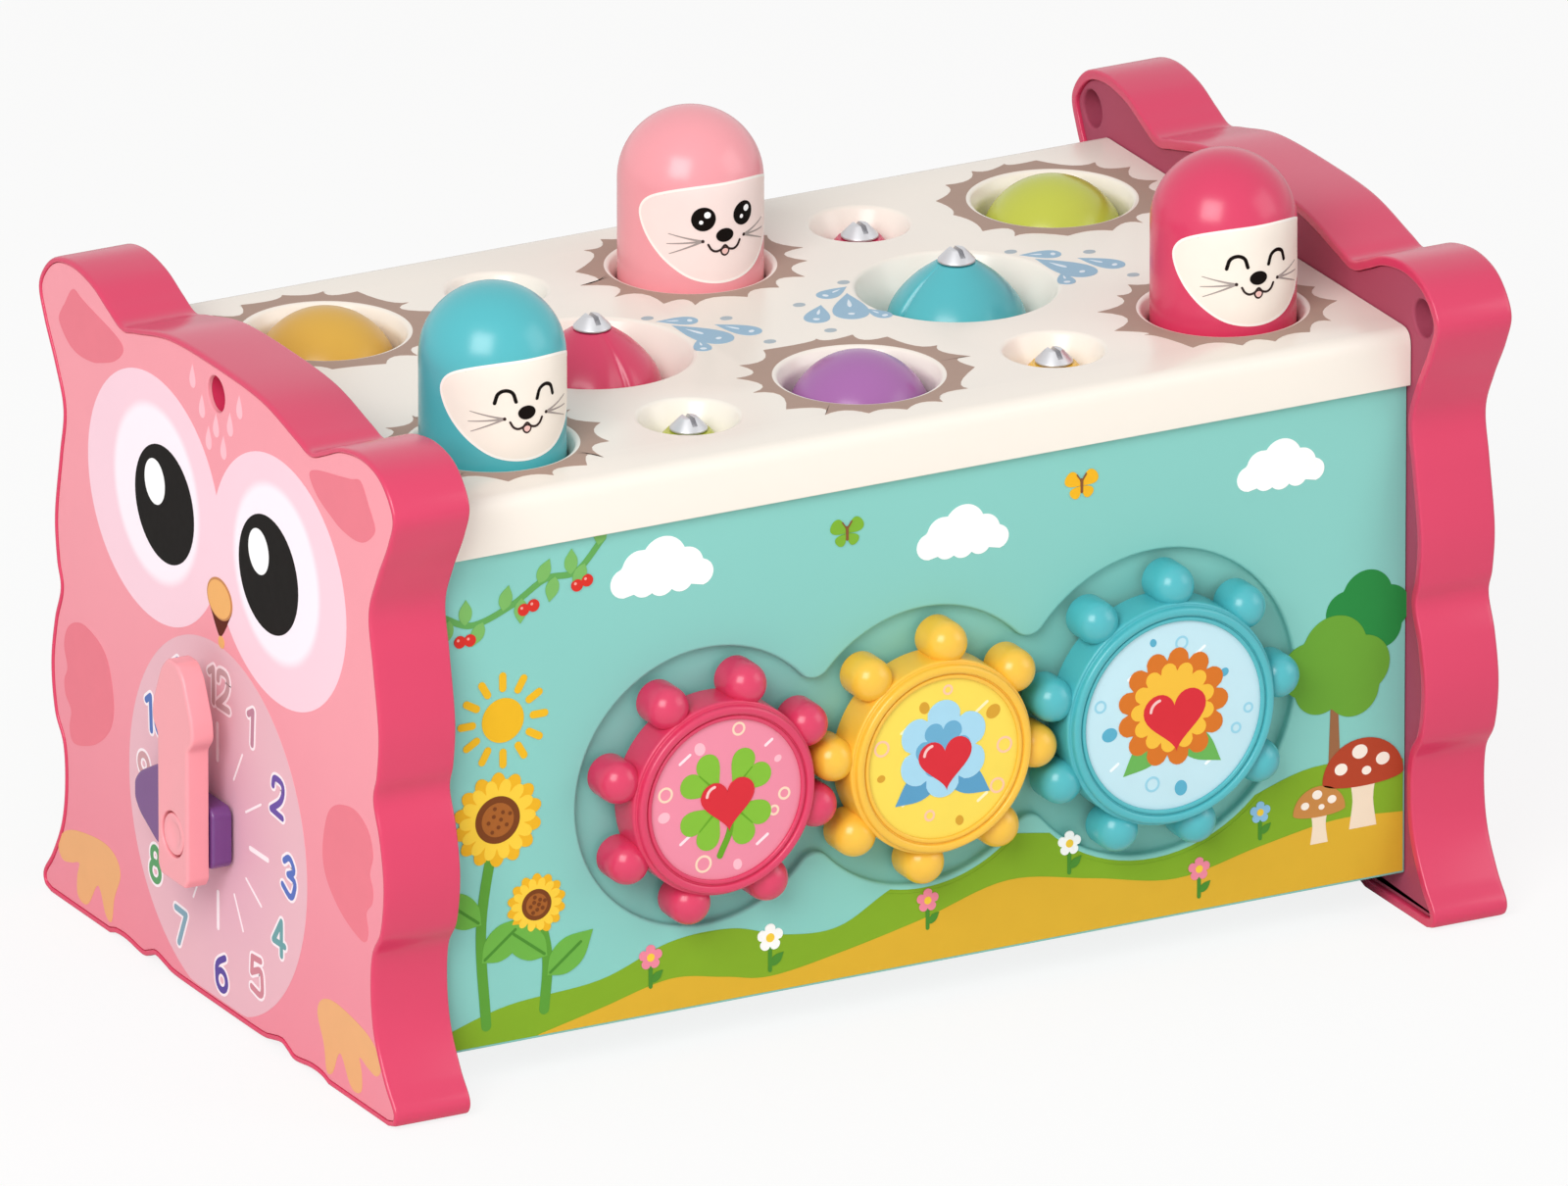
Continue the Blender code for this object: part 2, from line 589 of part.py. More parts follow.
def top_deck(root):
    """The deck: mole collars, fish funnels and worm funnels in one moulding."""
    ends = (-BOX_HALF_LENGTH, BOX_HALF_LENGTH)
    deck = add_object("top_deck", loft([[(x, y, z) for y, z in deck_profile()] for x in ends]),
                      "cream_plastic", root)
    walls = []
    hollows = []
    chamfer = MOLE_HOLE_RIM - MOLE_BORE
    for colour, column, row, up in mole_places():
        place = (columns()[column], row * ROW, 0)
        collar = MOLE_BORE + COLLAR_WALL
        walls.append(along(cylinder(collar, COLLAR_BOTTOM, DECK_UNDERSIDE + EMBED, ROUND_STEPS), (0, 0, 1),
                           place))
        low, top = COLLAR_BOTTOM - OVERRUN, DECK_TOP + OVERRUN
        rim = MOLE_HOLE_RIM + chamfer / MOLE_HOLE_CHAMFER * OVERRUN
        hollows.append(along(lathe(((0, low), (MOLE_BORE, low), (MOLE_BORE, DECK_TOP - MOLE_HOLE_CHAMFER),
                                    (rim, top), (0, top))), (0, 0, 1), place))
    fish = (FISH_FUNNEL_RADIUS, FISH_FUNNEL_DEPTH, FISH_POCKET_RADIUS, FISH_POCKET_DEPTH, ROUND_STEPS)
    for x in fish_places().values():
        walls.append(along(pocket_wall(*fish), (0, 0, 1), (x, 0, 0)))
        hollows.append(along(funnel(*fish), (0, 0, 1), (x, 0, 0)))
    worm = (WORM_FUNNEL_RADIUS, WORM_FUNNEL_DEPTH, WORM_POCKET_RADIUS, WORM_POCKET_DEPTH, TINY_STEPS + 2)
    for x, y in worm_places().values():
        walls.append(along(pocket_wall(*worm), (0, 0, 1), (x, y, 0)))
        hollows.append(along(funnel(*worm), (0, 0, 1), (x, y, 0)))
    join(deck, gathered(walls))
    cut(deck, gathered(hollows))


def gear_layout():
    """Each gear's place along X, knobs, pitch radius and turn, in mesh from left to right."""
    radii = {name: GEAR_MODULE * knobs / 2 for name, knobs in GEAR_KNOBS.items()}
    pitches = {name: FULL_TURN / knobs for name, knobs in GEAR_KNOBS.items()}
    left, middle, right = GEAR_KNOBS
    lead = MIDDLE_GEAR_TURN - pitches[middle]
    left_turn = pitches[left] / 2 - lead * radii[middle] / radii[left]
    right_turn = FULL_TURN / 2 - lead * radii[middle] / radii[right] - pitches[right] / 2
    return (
        (left, -radii[left] - radii[middle], radii[left], left_turn),
        (middle, 0, radii[middle], MIDDLE_GEAR_TURN),
        (right, radii[middle] + radii[right], radii[right], right_turn))


def recess_outline(margin):
    """The outline round all three gears in X and Z, with filleted corners between them."""
    gears = [(x, radius - KNOB_SINK + KNOB_RADIUS + RECESS_MARGIN + margin)
             for name, x, radius, turn in gear_layout()]
    fillet = RECESS_FILLET - margin
    upper = []
    start = FULL_TURN / 2
    for (x, radius), (next_x, next_radius) in zip(gears, gears[1:] + [(None, None)]):
        if next_x is None:
            upper += arc((x, GEAR_HEIGHT), radius, start, 0, max(1, round(start / RECESS_STEP)))
            break
        span, reach, next_reach = next_x - x, radius + fillet, next_radius + fillet
        across = (span ** 2 + reach ** 2 - next_reach ** 2) / (2 * span)
        rise = math.sqrt(reach ** 2 - across ** 2)
        end = math.atan2(rise, across)
        upper += arc((x, GEAR_HEIGHT), radius, start, end, max(1, round((start - end) / RECESS_STEP)))
        start = math.atan2(rise, across - span)
        corner = arc((x + across, GEAR_HEIGHT + rise), fillet, end - FULL_TURN / 2, start - FULL_TURN / 2,
                     FILLET_STEPS)
        upper += corner[1:-1]
    lower = [(x, 2 * GEAR_HEIGHT - z) for x, z in reversed(upper[1:-1])]
    return upper + lower


def front_panel(root):
    """The front panel with the gears' recess, its tray and the three axle bosses."""
    panel = add_object("front_panel", block((-BOX_HALF_LENGTH, -PANEL_FACE, PANEL_BOTTOM),
                                            (BOX_HALF_LENGTH, -PANEL_BACK, PANEL_TOP)), "teal_panel", root)
    tray_back = RECESS_FLOOR - PANEL_THICKNESS
    join(panel, loft([[(x, -y, z) for x, z in recess_outline(PANEL_THICKNESS)]
                      for y in (PANEL_BACK + EMBED, tray_back)]))
    cut(panel, loft([[(x, -y, z) for x, z in recess_outline(0)]
                     for y in (PANEL_FACE + OVERRUN, RECESS_FLOOR)]))
    places = [(x, 0, GEAR_HEIGHT) for name, x, radius, turn in gear_layout()]
    low, high = tray_back - BOSS_LENGTH, RECESS_FLOOR + BOSS_HEIGHT
    join(panel, gathered([along(cylinder(BOSS_RADIUS, low, high), (0, -1, 0), place)
                          for place in places]))
    low, high = AXLE_END - FIT, RECESS_FLOOR + BOSS_HEIGHT + OVERRUN
    cut(panel, gathered([along(cylinder(AXLE_RADIUS + FIT, low, high), (0, -1, 0), place)
                         for place in places]))


def make_box(root):
    """The plain panels of the box, and the deck and front on them."""
    add_object("back_panel", block((-BOX_HALF_LENGTH, PANEL_BACK, PANEL_BOTTOM),
                                   (BOX_HALF_LENGTH, PANEL_FACE, PANEL_TOP)), "teal_panel", root)
    half_width = PANEL_BACK - FIT
    add_object("base_plate", block((-BOX_HALF_LENGTH, -half_width, PANEL_BOTTOM),
                                   (BOX_HALF_LENGTH, half_width, BASE_TOP)), "teal_panel", root)
    front_panel(root)
    top_deck(root)


def mole_shell(colour, place, root):
    """A mole's hollow dome, open below, at its height on the photograph."""
    x, y, drop = place
    base = MOLE_BOTTOM - drop
    shoulder = base + MOLE_LENGTH - MOLE_DOME_HEIGHT
    inner = MOLE_RADIUS - MOLE_WALL
    bend = QUARTER_TURN / 2
    profile = [(0, shoulder + MOLE_DOME_HEIGHT - MOLE_WALL),
               (inner * math.cos(bend), shoulder + (MOLE_DOME_HEIGHT - MOLE_WALL) * math.sin(bend)),
               (inner, shoulder), (inner, base), (MOLE_RADIUS, base)]
    for i in range(MOLE_DOME_STEPS):
        bend = QUARTER_TURN * i / MOLE_DOME_STEPS
        profile.append((MOLE_RADIUS * math.cos(bend), shoulder + MOLE_DOME_HEIGHT * math.sin(bend)))
    profile.append((0, shoulder + MOLE_DOME_HEIGHT))
    add_object(f"mole_{colour}", along(lathe(profile), (0, 0, 1), (x, y, 0)), f"{colour}_plastic", root,
               (x, y, DECK_TOP))


def mole_stem(colour, place, root):
    """The plug, stop flange and push rod under a mole."""
    x, y, drop = place
    plug = MOLE_RADIUS - MOLE_WALL - FIT
    profile = [(0, FLANGE_TOP + STEM_PLUG_HEIGHT), (plug, FLANGE_TOP + STEM_PLUG_HEIGHT), (plug, FLANGE_TOP),
               (FLANGE_RADIUS, FLANGE_TOP), (FLANGE_RADIUS, FLANGE_BOTTOM), (STEM_RADIUS, FLANGE_BOTTOM),
               (STEM_RADIUS, STEM_BOTTOM), (0, STEM_BOTTOM)]
    add_object(f"mole_stem_{colour}", along(lathe([(r, z - drop) for r, z in profile], SMALL_STEPS + 2),
                                            (0, 0, 1), (x, y, 0)), "grey_plastic", root, (x, y, DECK_TOP))


def arm_half(reach):
    """Half the depth of a rocker's arm at a distance from its pivot."""
    share = reach / (ROW - ROCKER_PAD_RADIUS)
    return ROCKER_HUB_RADIUS + (ROCKER_ARM_HALF - ROCKER_HUB_RADIUS) * share


def rocker_outline():
    """A rocker from the side, in Y and Z about its pivot: a hub with an arm and pad each way."""
    sweep = math.pi - math.asin(ROCKER_ARM_HALF / ROCKER_PAD_RADIUS)
    half = arc((ROW, 0), ROCKER_PAD_RADIUS, -sweep, sweep, 8) + [(0, ROCKER_HUB_RADIUS)]
    return half + [(-y, -z) for y, z in half]


def rocker(column, x, front_up, root):
    """A rocker with a pocket in each face of both arms, tilted to its moles."""
    outline = rocker_outline()
    half = ROCKER_WIDTH / 2
    body = loft([[(side * half, y, z) for y, z in outline] for side in (-1, 1)])
    arm = add_object(f"rocker_{column}", body, "grey_plastic", root)
    holes = [along(cylinder(ROD_RADIUS + FIT, -half - OVERRUN, half + OVERRUN), (1, 0, 0))]
    near, far = ROCKER_HUB_RADIUS + ROCKER_RIM, ROW - ROCKER_PAD_RADIUS - ROCKER_RIM
    low, high = arm_half(near) - ROCKER_RIM, arm_half(far) - ROCKER_RIM
    for side in (-1, 1):
        for way in (-1, 1):
            pocket = [(way * near, -low), (way * far, -high), (way * far, high), (way * near, low)]
            faces = (side * ROCKER_WEB / 2, side * (half + OVERRUN))
            holes.append(loft([[(x0, y, z) for y, z in pocket] for x0 in faces]))
    tool = gathered(holes)
    tilt = Matrix.Rotation(-TILT if front_up else TILT, 4, "X")
    place = Matrix.Translation((x, 0, PIVOT_HEIGHT))
    bmesh.ops.transform(tool, matrix=place @ tilt, verts=tool.verts)
    arm.matrix_local = place @ tilt
    cut(arm, tool)


def make_moles(root):
    """The moles with their stems, the guide plate, and the rockers on their rod."""
    for colour, column, row, up in mole_places():
        place = (columns()[column], row * ROW, 0 if up else STROKE)
        mole_shell(colour, place, root)
        mole_stem(colour, place, root)
        if row < 0:
            rocker(column, columns()[column], up, root)
    reach = COLUMN_PITCH + FLANGE_RADIUS + GUIDE_EDGE
    half_width = ROW + FLANGE_RADIUS + GUIDE_EDGE
    corners = ((-reach, -half_width, GUIDE_BOTTOM), (reach, half_width, GUIDE_TOP))
    plate = add_object("guide_plate", block(*corners), "grey_plastic", root)
    low, high = GUIDE_BOTTOM - OVERRUN, GUIDE_TOP + OVERRUN
    cut(plate, gathered([along(cylinder(STEM_RADIUS + SLIDE_GAP, low, high, TINY_STEPS + 2), (0, 0, 1),
                               (columns()[column], row * ROW, 0))
                         for colour, column, row, up in mole_places()]))
    end = rod_end()
    rod = along(cylinder(ROD_RADIUS, -end, end), (1, 0, 0), (0, 0, PIVOT_HEIGHT))
    add_object("rocker_rod", rod, "steel", root)
    foot, head = PANEL_BACK * BRACKET_FOOT_SHARE, PANEL_BACK * BRACKET_HEAD_SHARE
    low, high = BASE_TOP + FIT, GUIDE_BOTTOM - FIT
    for hand, x in (("left", -COLUMN_PITCH / 2), ("right", COLUMN_PITCH / 2)):
        outline = ((-foot, low), (foot, low), (head, PIVOT_HEIGHT), (head, high), (-head, high),
                   (-head, PIVOT_HEIGHT))
        faces = (x - BRACKET_THICKNESS / 2, x + BRACKET_THICKNESS / 2)
        plate = loft([[(x, y, z) for y, z in outline] for x in faces])
        bracket = add_object(f"rocker_bracket_{hand}", plate, "grey_plastic", root)
        cut(bracket, along(cylinder(ROD_RADIUS + FIT, faces[0] - OVERRUN, faces[1] + OVERRUN), (1, 0, 0),
                           (0, 0, PIVOT_HEIGHT)))


def gear_outline(knobs, pitch_radius, turn):
    """A knob gear's outline about its axis, anticlockwise: round knobs on a round hub."""
    hub, ring = pitch_radius - HUB_SINK, pitch_radius - KNOB_SINK
    across = (hub ** 2 + ring ** 2 - KNOB_RADIUS ** 2) / (2 * ring)
    foot = math.acos(across / hub)
    sweep = math.atan2(hub * math.sin(foot), across - ring)
    outline = []
    for i in range(knobs):
        angle = turn + FULL_TURN * i / knobs
        centre = (ring * math.cos(angle), ring * math.sin(angle))
        outline += arc(centre, KNOB_RADIUS, angle - sweep, angle + sweep, KNOB_STEPS)
        outline += arc((0, 0), hub, angle + foot, angle + FULL_TURN / knobs - foot, HUB_STEPS)[1:-1]
    return outline


def gear(name, x, pitch_radius, turn, root):
    """A knob gear with its raised bezel, disc seat and stepped bore."""
    outline = gear_outline(GEAR_KNOBS[name], pitch_radius, turn)
    front = inset(outline, KNOB_ROUND)
    place = (x, 0, GEAR_HEIGHT)
    stations = ((GEAR_BACK, outline), (GEAR_FRONT - KNOB_ROUND, outline), (GEAR_FRONT, front))
    rings = [[(x + u, -y, GEAR_HEIGHT + v) for u, v in points] for y, points in stations]
    wheel = add_object(name, loft(rings), f"{name.split('_')[1]}_plastic", root,
                       (x, -GEAR_BACK, GEAR_HEIGHT))
    bezel_out = pitch_radius - BEZEL_SINK
    seat = bezel_out - BEZEL_WIDTH
    ring = ((bezel_out, GEAR_FRONT - EMBED), (bezel_out, BEZEL_FRONT), (seat, BEZEL_FRONT),
            (seat, GEAR_FRONT - EMBED))
    join(wheel, along(lathe(ring, ROUND_STEPS, closed=True), (0, -1, 0), place))
    shoulder = DISC_SEAT - AXLE_HEAD_HEIGHT - FIT
    bore = ((0, GEAR_BACK - OVERRUN), (AXLE_RADIUS + SLIDE_GAP, GEAR_BACK - OVERRUN),
            (AXLE_RADIUS + SLIDE_GAP, shoulder), (AXLE_HEAD_RADIUS + SLIDE_GAP, shoulder),
            (AXLE_HEAD_RADIUS + SLIDE_GAP, DISC_SEAT), (seat, DISC_SEAT), (seat, BEZEL_FRONT + OVERRUN),
            (0, BEZEL_FRONT + OVERRUN))
    cut(wheel, along(lathe(bore), (0, -1, 0), place))
    add_object(name.replace("gear", "gear_disc"),
               along(cylinder(seat - FIT, DISC_FRONT - DISC_THICKNESS, DISC_FRONT, ROUND_STEPS), (0, -1, 0),
                     place), "disc_print", root, (x, -GEAR_BACK, GEAR_HEIGHT))
    head = ((0, AXLE_END), (AXLE_RADIUS, AXLE_END), (AXLE_RADIUS, shoulder + FIT),
            (AXLE_HEAD_RADIUS, shoulder + FIT), (AXLE_HEAD_RADIUS, DISC_SEAT), (0, DISC_SEAT))
    axle = along(lathe(head, SMALL_STEPS), (0, -1, 0), place)
    add_object(name.replace("gear", "gear_axle"), axle, "steel", root)


def hand_outline(head_shares, tip, tail):
    """A clock hand's outline, across and along, anticlockwise from its tail."""
    side = [(HAND_HALF_WIDTH * u, -tail * v) for u, v in TAIL_SHARES]
    side.append((HAND_HALF_WIDTH, tip * head_shares[0][1]))
    side += [(HAND_HEAD_HALF_WIDTH * u, tip * v) for u, v in head_shares[1:]]
    return side + [(-u, v) for u, v in reversed(side)]


def clock_hand(name, outline, turn, back, front, material, root):
    """A clock hand between two distances from the middle of the box, turned about its pivot."""
    turned = [(u * math.cos(turn) - v * math.sin(turn), u * math.sin(turn) + v * math.cos(turn))
              for u, v in outline]
    stations = ((back, turned), (front - HAND_ROUND, turned), (front, inset(turned, HAND_ROUND)))
    rings = [[(-x, -y, CLOCK_HEIGHT + z) for y, z in points] for x, points in stations]
    return add_object(name, loft(rings), material, root, (-back, 0, CLOCK_HEIGHT))


def make_clock(root):
    """The two hands and the headed spindle that they turn on."""
    hour = clock_hand("clock_hour_hand", hand_outline(HOUR_HEAD_SHARES, HOUR_TIP, HOUR_TAIL), QUARTER_TURN,
                      HOUR_BACK, HOUR_FRONT, "purple_plastic", root)
    minute = clock_hand("clock_minute_hand", hand_outline(MINUTE_HEAD_SHARES, MINUTE_TIP, MINUTE_TAIL), 0,
                        MINUTE_BACK, MINUTE_FRONT, "pink_plastic", root)
    bore = SPINDLE_RADIUS + SLIDE_GAP
    cut(hour, on_x(cylinder(bore, HOUR_BACK - OVERRUN, HOUR_FRONT + OVERRUN), -1, 0, CLOCK_HEIGHT))
    seat = MINUTE_FRONT - SPINDLE_HEAD_HEIGHT
    low, high = MINUTE_BACK - OVERRUN, MINUTE_FRONT + OVERRUN
    head_bore = SPINDLE_HEAD_RADIUS + SLIDE_GAP
    cut(minute, on_x(lathe(((0, low), (bore, low), (bore, seat - FIT), (head_bore, seat - FIT),
                            (head_bore, high), (0, high)), SMALL_STEPS), -1, 0, CLOCK_HEIGHT))
    inside = SHELL_INSIDE - SPINDLE_INSIDE
    profile = ((0, inside), (SPINDLE_RADIUS, inside), (SPINDLE_RADIUS, seat), (SPINDLE_HEAD_RADIUS, seat),
               (SPINDLE_HEAD_RADIUS, MINUTE_FRONT - HAND_ROUND), (0, MINUTE_FRONT - FIT))
    add_object("clock_spindle", on_x(lathe(profile, SMALL_STEPS), -1, 0, CLOCK_HEIGHT), "pink_plastic", root)


def steel_tip(name, place, root):
    """A slotted steel tip with a pin under it, standing on a fish or a worm."""
    x, y, z = place
    profile = [(0, z - TIP_PIN_LENGTH), (TIP_PIN_RADIUS, z - TIP_PIN_LENGTH), (TIP_PIN_RADIUS, z + FIT)]
    profile += [(TIP_RADIUS * r, z + FIT + TIP_HEIGHT * h) for r, h in TIP_PROFILE_SHARES]
    top = z + FIT + TIP_HEIGHT
    profile.append((0, top))
    tip = add_object(name, along(lathe(profile, TINY_STEPS), (0, 0, 1), (x, y, 0)), "steel", root,
                     (x, y, z))
    half = TIP_SLOT_WIDTH / 2
    reach = TIP_RADIUS + OVERRUN
    cut(tip, block((x - half, y - reach, top - TIP_SLOT_DEPTH), (x + half, y + reach, top + OVERRUN)))


def dipper(name, shares, radius, low, high, steps, material, place, root):
    """A fish or worm: a turned body with a blind hole for the pin of its tip."""
    x, y = place
    profile = [(0, low)] + [(radius * r, high - (high - low) * h) for r, h in shares] + [(0, high)]
    body = add_object(name, along(lathe(profile, steps), (0, 0, 1), (x, y, 0)), material, root, (x, y, high))
    hole = cylinder(TIP_PIN_RADIUS + FIT, high - TIP_PIN_LENGTH - FIT, high + OVERRUN, TINY_STEPS)
    cut(body, along(hole, (0, 0, 1), (x, y, 0)))


def make_dippers(root):
    """The fish and worms with their steel tips, standing in their pockets."""
    top = DECK_TOP + FISH_RISE
    for colour, x in fish_places().items():
        dipper(f"fish_{colour}", FISH_PROFILE_SHARES, FISH_RADIUS, DECK_TOP - FISH_POCKET_DEPTH + FIT, top,
               ROUND_STEPS, f"{colour}_plastic", (x, 0), root)
        steel_tip(f"fish_tip_{colour}", (x, 0, top), root)
    materials = {"green": "green_plastic", "teal": "teal_plastic", "yellow": "yellow_plastic",
                 "red": "crimson_plastic"}
    top = DECK_TOP - WORM_SINK
    for colour, (x, y) in worm_places().items():
        dipper(f"worm_{colour}", WORM_PROFILE_SHARES, WORM_RADIUS, DECK_TOP - WORM_POCKET_DEPTH + FIT, top,
               TINY_STEPS + 2, materials[colour], (x, y), root)
        steel_tip(f"worm_tip_{colour}", (x, y, top), root)


def main():
    """Build the toy under one empty, so that its bounding box stands on the origin."""
    for thing in list(bpy.data.objects):
        bpy.data.objects.remove(thing, do_unlink=True)
    root = bpy.data.objects.new("toy", None)
    root.location = (BOX_SHIFT, 0, 0)
    bpy.context.scene.collection.objects.link(root)
    make_ends(root)
    make_box(root)
    make_moles(root)
    for name, x, pitch_radius, turn in gear_layout():
        gear(name, x, pitch_radius, turn, root)
    make_clock(root)
    make_dippers(root)


main()
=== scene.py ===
"""Looks of a children's pounding toy, an activity box between two owl-shaped ends.

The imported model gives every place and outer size. Each class rebuilds one sub-assembly with
smooth edges, prints and finishes; its pieces stand for the CAD nodes and ride on their bodies.
"""
import logging
import math
import random
from collections.abc import Callable, Iterable, Mapping, Sequence
from dataclasses import dataclass
from enum import Enum
from typing import ClassVar

import bmesh
import bpy
from mathutils import Matrix, Vector


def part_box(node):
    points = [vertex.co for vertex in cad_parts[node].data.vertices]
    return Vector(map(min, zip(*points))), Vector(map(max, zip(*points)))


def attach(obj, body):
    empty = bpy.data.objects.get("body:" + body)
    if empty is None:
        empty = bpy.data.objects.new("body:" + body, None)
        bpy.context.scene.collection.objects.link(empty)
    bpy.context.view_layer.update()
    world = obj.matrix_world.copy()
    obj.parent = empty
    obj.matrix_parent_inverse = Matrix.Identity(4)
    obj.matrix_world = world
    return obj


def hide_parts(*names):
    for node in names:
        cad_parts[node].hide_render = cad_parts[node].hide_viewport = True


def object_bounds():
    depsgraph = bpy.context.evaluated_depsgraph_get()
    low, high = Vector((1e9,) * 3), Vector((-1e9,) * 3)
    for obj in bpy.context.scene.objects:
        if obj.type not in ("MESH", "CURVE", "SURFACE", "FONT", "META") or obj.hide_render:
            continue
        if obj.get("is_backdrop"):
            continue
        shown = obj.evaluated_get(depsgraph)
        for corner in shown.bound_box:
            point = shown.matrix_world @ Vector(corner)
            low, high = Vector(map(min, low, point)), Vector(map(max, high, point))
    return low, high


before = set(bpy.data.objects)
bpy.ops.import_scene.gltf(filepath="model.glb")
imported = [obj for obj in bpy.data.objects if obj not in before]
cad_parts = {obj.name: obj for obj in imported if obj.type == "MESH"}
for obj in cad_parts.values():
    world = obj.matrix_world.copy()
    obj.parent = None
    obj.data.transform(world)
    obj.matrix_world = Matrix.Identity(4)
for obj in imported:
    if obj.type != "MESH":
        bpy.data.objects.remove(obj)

LOG = logging.getLogger("pounding_toy")
Point = Sequence[float]
Line = Sequence[Point]
Mesh = bmesh.types.BMesh
Colour = tuple[float, float, float, float]

MM = 0.001
FULL_TURN = math.tau
TURN_STEPS = 96
EASE_STEPS = 5
UNFOLD_ROUNDS = 8
UNFOLD_STEP = 0.02
SHARPEST_CORNER = 0.4
SMOOTH_ANGLE = math.radians(32)
# How far a cutter reaches past the face that it opens, and joined bodies into each other
OVER = 1 * MM
OVERLAP = 0.6 * MM


def mm(*values: float | Sequence) -> tuple:
    """Numbers in millimetres, or rows of them, as metres."""
    return tuple(mm(*value) if isinstance(value, Sequence) else value * MM for value in values)


def paint(code: str) -> Colour:
    """The colour of a six-digit screen code, in the linear values that shaders use."""
    channels = [int(code[i:i + 2], 16) / 255 for i in (0, 2, 4)]
    linear = [c / 12.92 if c <= 0.04045 else ((c + 0.055) / 1.055) ** 2.4 for c in channels]
    return linear[0], linear[1], linear[2], 1.0


def shade(colour: Colour, share: float) -> Colour:
    """A colour made darker or lighter by a share."""
    return colour[0] * share, colour[1] * share, colour[2] * share, 1.0


# ---- Shader maths ----


class Socket:
    """One output of a shader node, on which arithmetic adds Math nodes."""

    def __init__(self, net: "Net", output: bpy.types.NodeSocket) -> None:
        """Wrap an output of a node in a net."""
        self.net = net
        self.output = output

    def math(self, operation: str, *values: "Socket | float") -> "Socket":
        """A Math node of that operation on sockets or numbers."""
        return self.net.add("ShaderNodeMath", {"operation": operation}, dict(enumerate(values)))

    def __add__(self, other: "Socket | float") -> "Socket":
        """The sum."""
        return self.math("ADD", self, other)

    def __radd__(self, other: float) -> "Socket":
        """The sum, with the number first."""
        return self.math("ADD", other, self)

    def __sub__(self, other: "Socket | float") -> "Socket":
        """The difference."""
        return self.math("SUBTRACT", self, other)

    def __rsub__(self, other: float) -> "Socket":
        """The difference, with the number first."""
        return self.math("SUBTRACT", other, self)

    def __mul__(self, other: "Socket | float") -> "Socket":
        """The product."""
        return self.math("MULTIPLY", self, other)

    def __rmul__(self, other: float) -> "Socket":
        """The product, with the number first."""
        return self.math("MULTIPLY", other, self)

    def __abs__(self) -> "Socket":
        """The size without its sign."""
        return self.math("ABSOLUTE", self)

    def root(self) -> "Socket":
        """The square root."""
        return self.math("SQRT", self)

    def between(self, low: float, high: float) -> "Socket":
        """A smooth step from 0 at low to 1 at high; low may be the larger."""
        return self.net.add("ShaderNodeMapRange", {"interpolation_type": "SMOOTHSTEP"},
                            {"Value": self, "From Min": low, "From Max": high})


class Net:
    """A node tree with its main shader."""

    def __init__(self, owner: bpy.types.Material | bpy.types.World, shader: str = "Principled BSDF") -> None:
        """Give a material or world its nodes."""
        owner.use_nodes = True
        self.tree = owner.node_tree
        self.shader = self.tree.nodes[shader]

    def add(self, kind: str, settings: Mapping[str, object] | None = None,
            values: Mapping[str | int, object] | None = None, output: str | int = 0) -> Socket:
        """Add any node.

        Args:
            kind: The node's type.
            settings: Its properties, which are set first; "stops" gives a ramp's stops.
            values: A number, colour, vector or Socket for each named or numbered input.
            output: The output that is returned.

        Returns:
            The chosen output.
        """
        node = self.tree.nodes.new(kind)
        for name, value in (settings or {}).items():
            if name == "stops":
                for stop, (place, colour) in zip(node.color_ramp.elements, value):
                    stop.position, stop.color = place, colour
            else:
                setattr(node, name, value)
        for name, value in (values or {}).items():
            if isinstance(value, Socket):
                self.tree.links.new(value.output, node.inputs[name])
            else:
                node.inputs[name].default_value = value
        return Socket(self, node.outputs[output])

    def blend(self, share: Socket, first: Socket | Colour, second: Socket | Colour) -> Socket:
        """A colour between two, by a share."""
        return self.add("ShaderNodeMix", {"data_type": "RGBA"}, {0: share, 6: first, 7: second}, 2)

    def places(self) -> Socket:
        """Where a point is, in metres in the row frame at rest."""
        return self.add("ShaderNodeTexCoord", output="Object")

    def axes(self) -> tuple[Socket, Socket, Socket]:
        """The three coordinates of a point."""
        split = self.add("ShaderNodeSeparateXYZ", values={0: self.places()})
        return tuple(Socket(self, output) for output in split.output.node.outputs)

    def noise(self, size: float, detail: float = 2.0) -> Socket:
        """Noise from 0 to 1 whose lumps have that size."""
        return self.add("ShaderNodeTexNoise", values={
            "Vector": self.places(), "Scale": 1 / size, "Detail": detail})

    def feed(self, name: str, value: Socket | float | Colour) -> None:
        """Give the shader's input a link or a constant."""
        if isinstance(value, Socket):
            self.tree.links.new(value.output, self.shader.inputs[name])
        else:
            self.shader.inputs[name].default_value = value


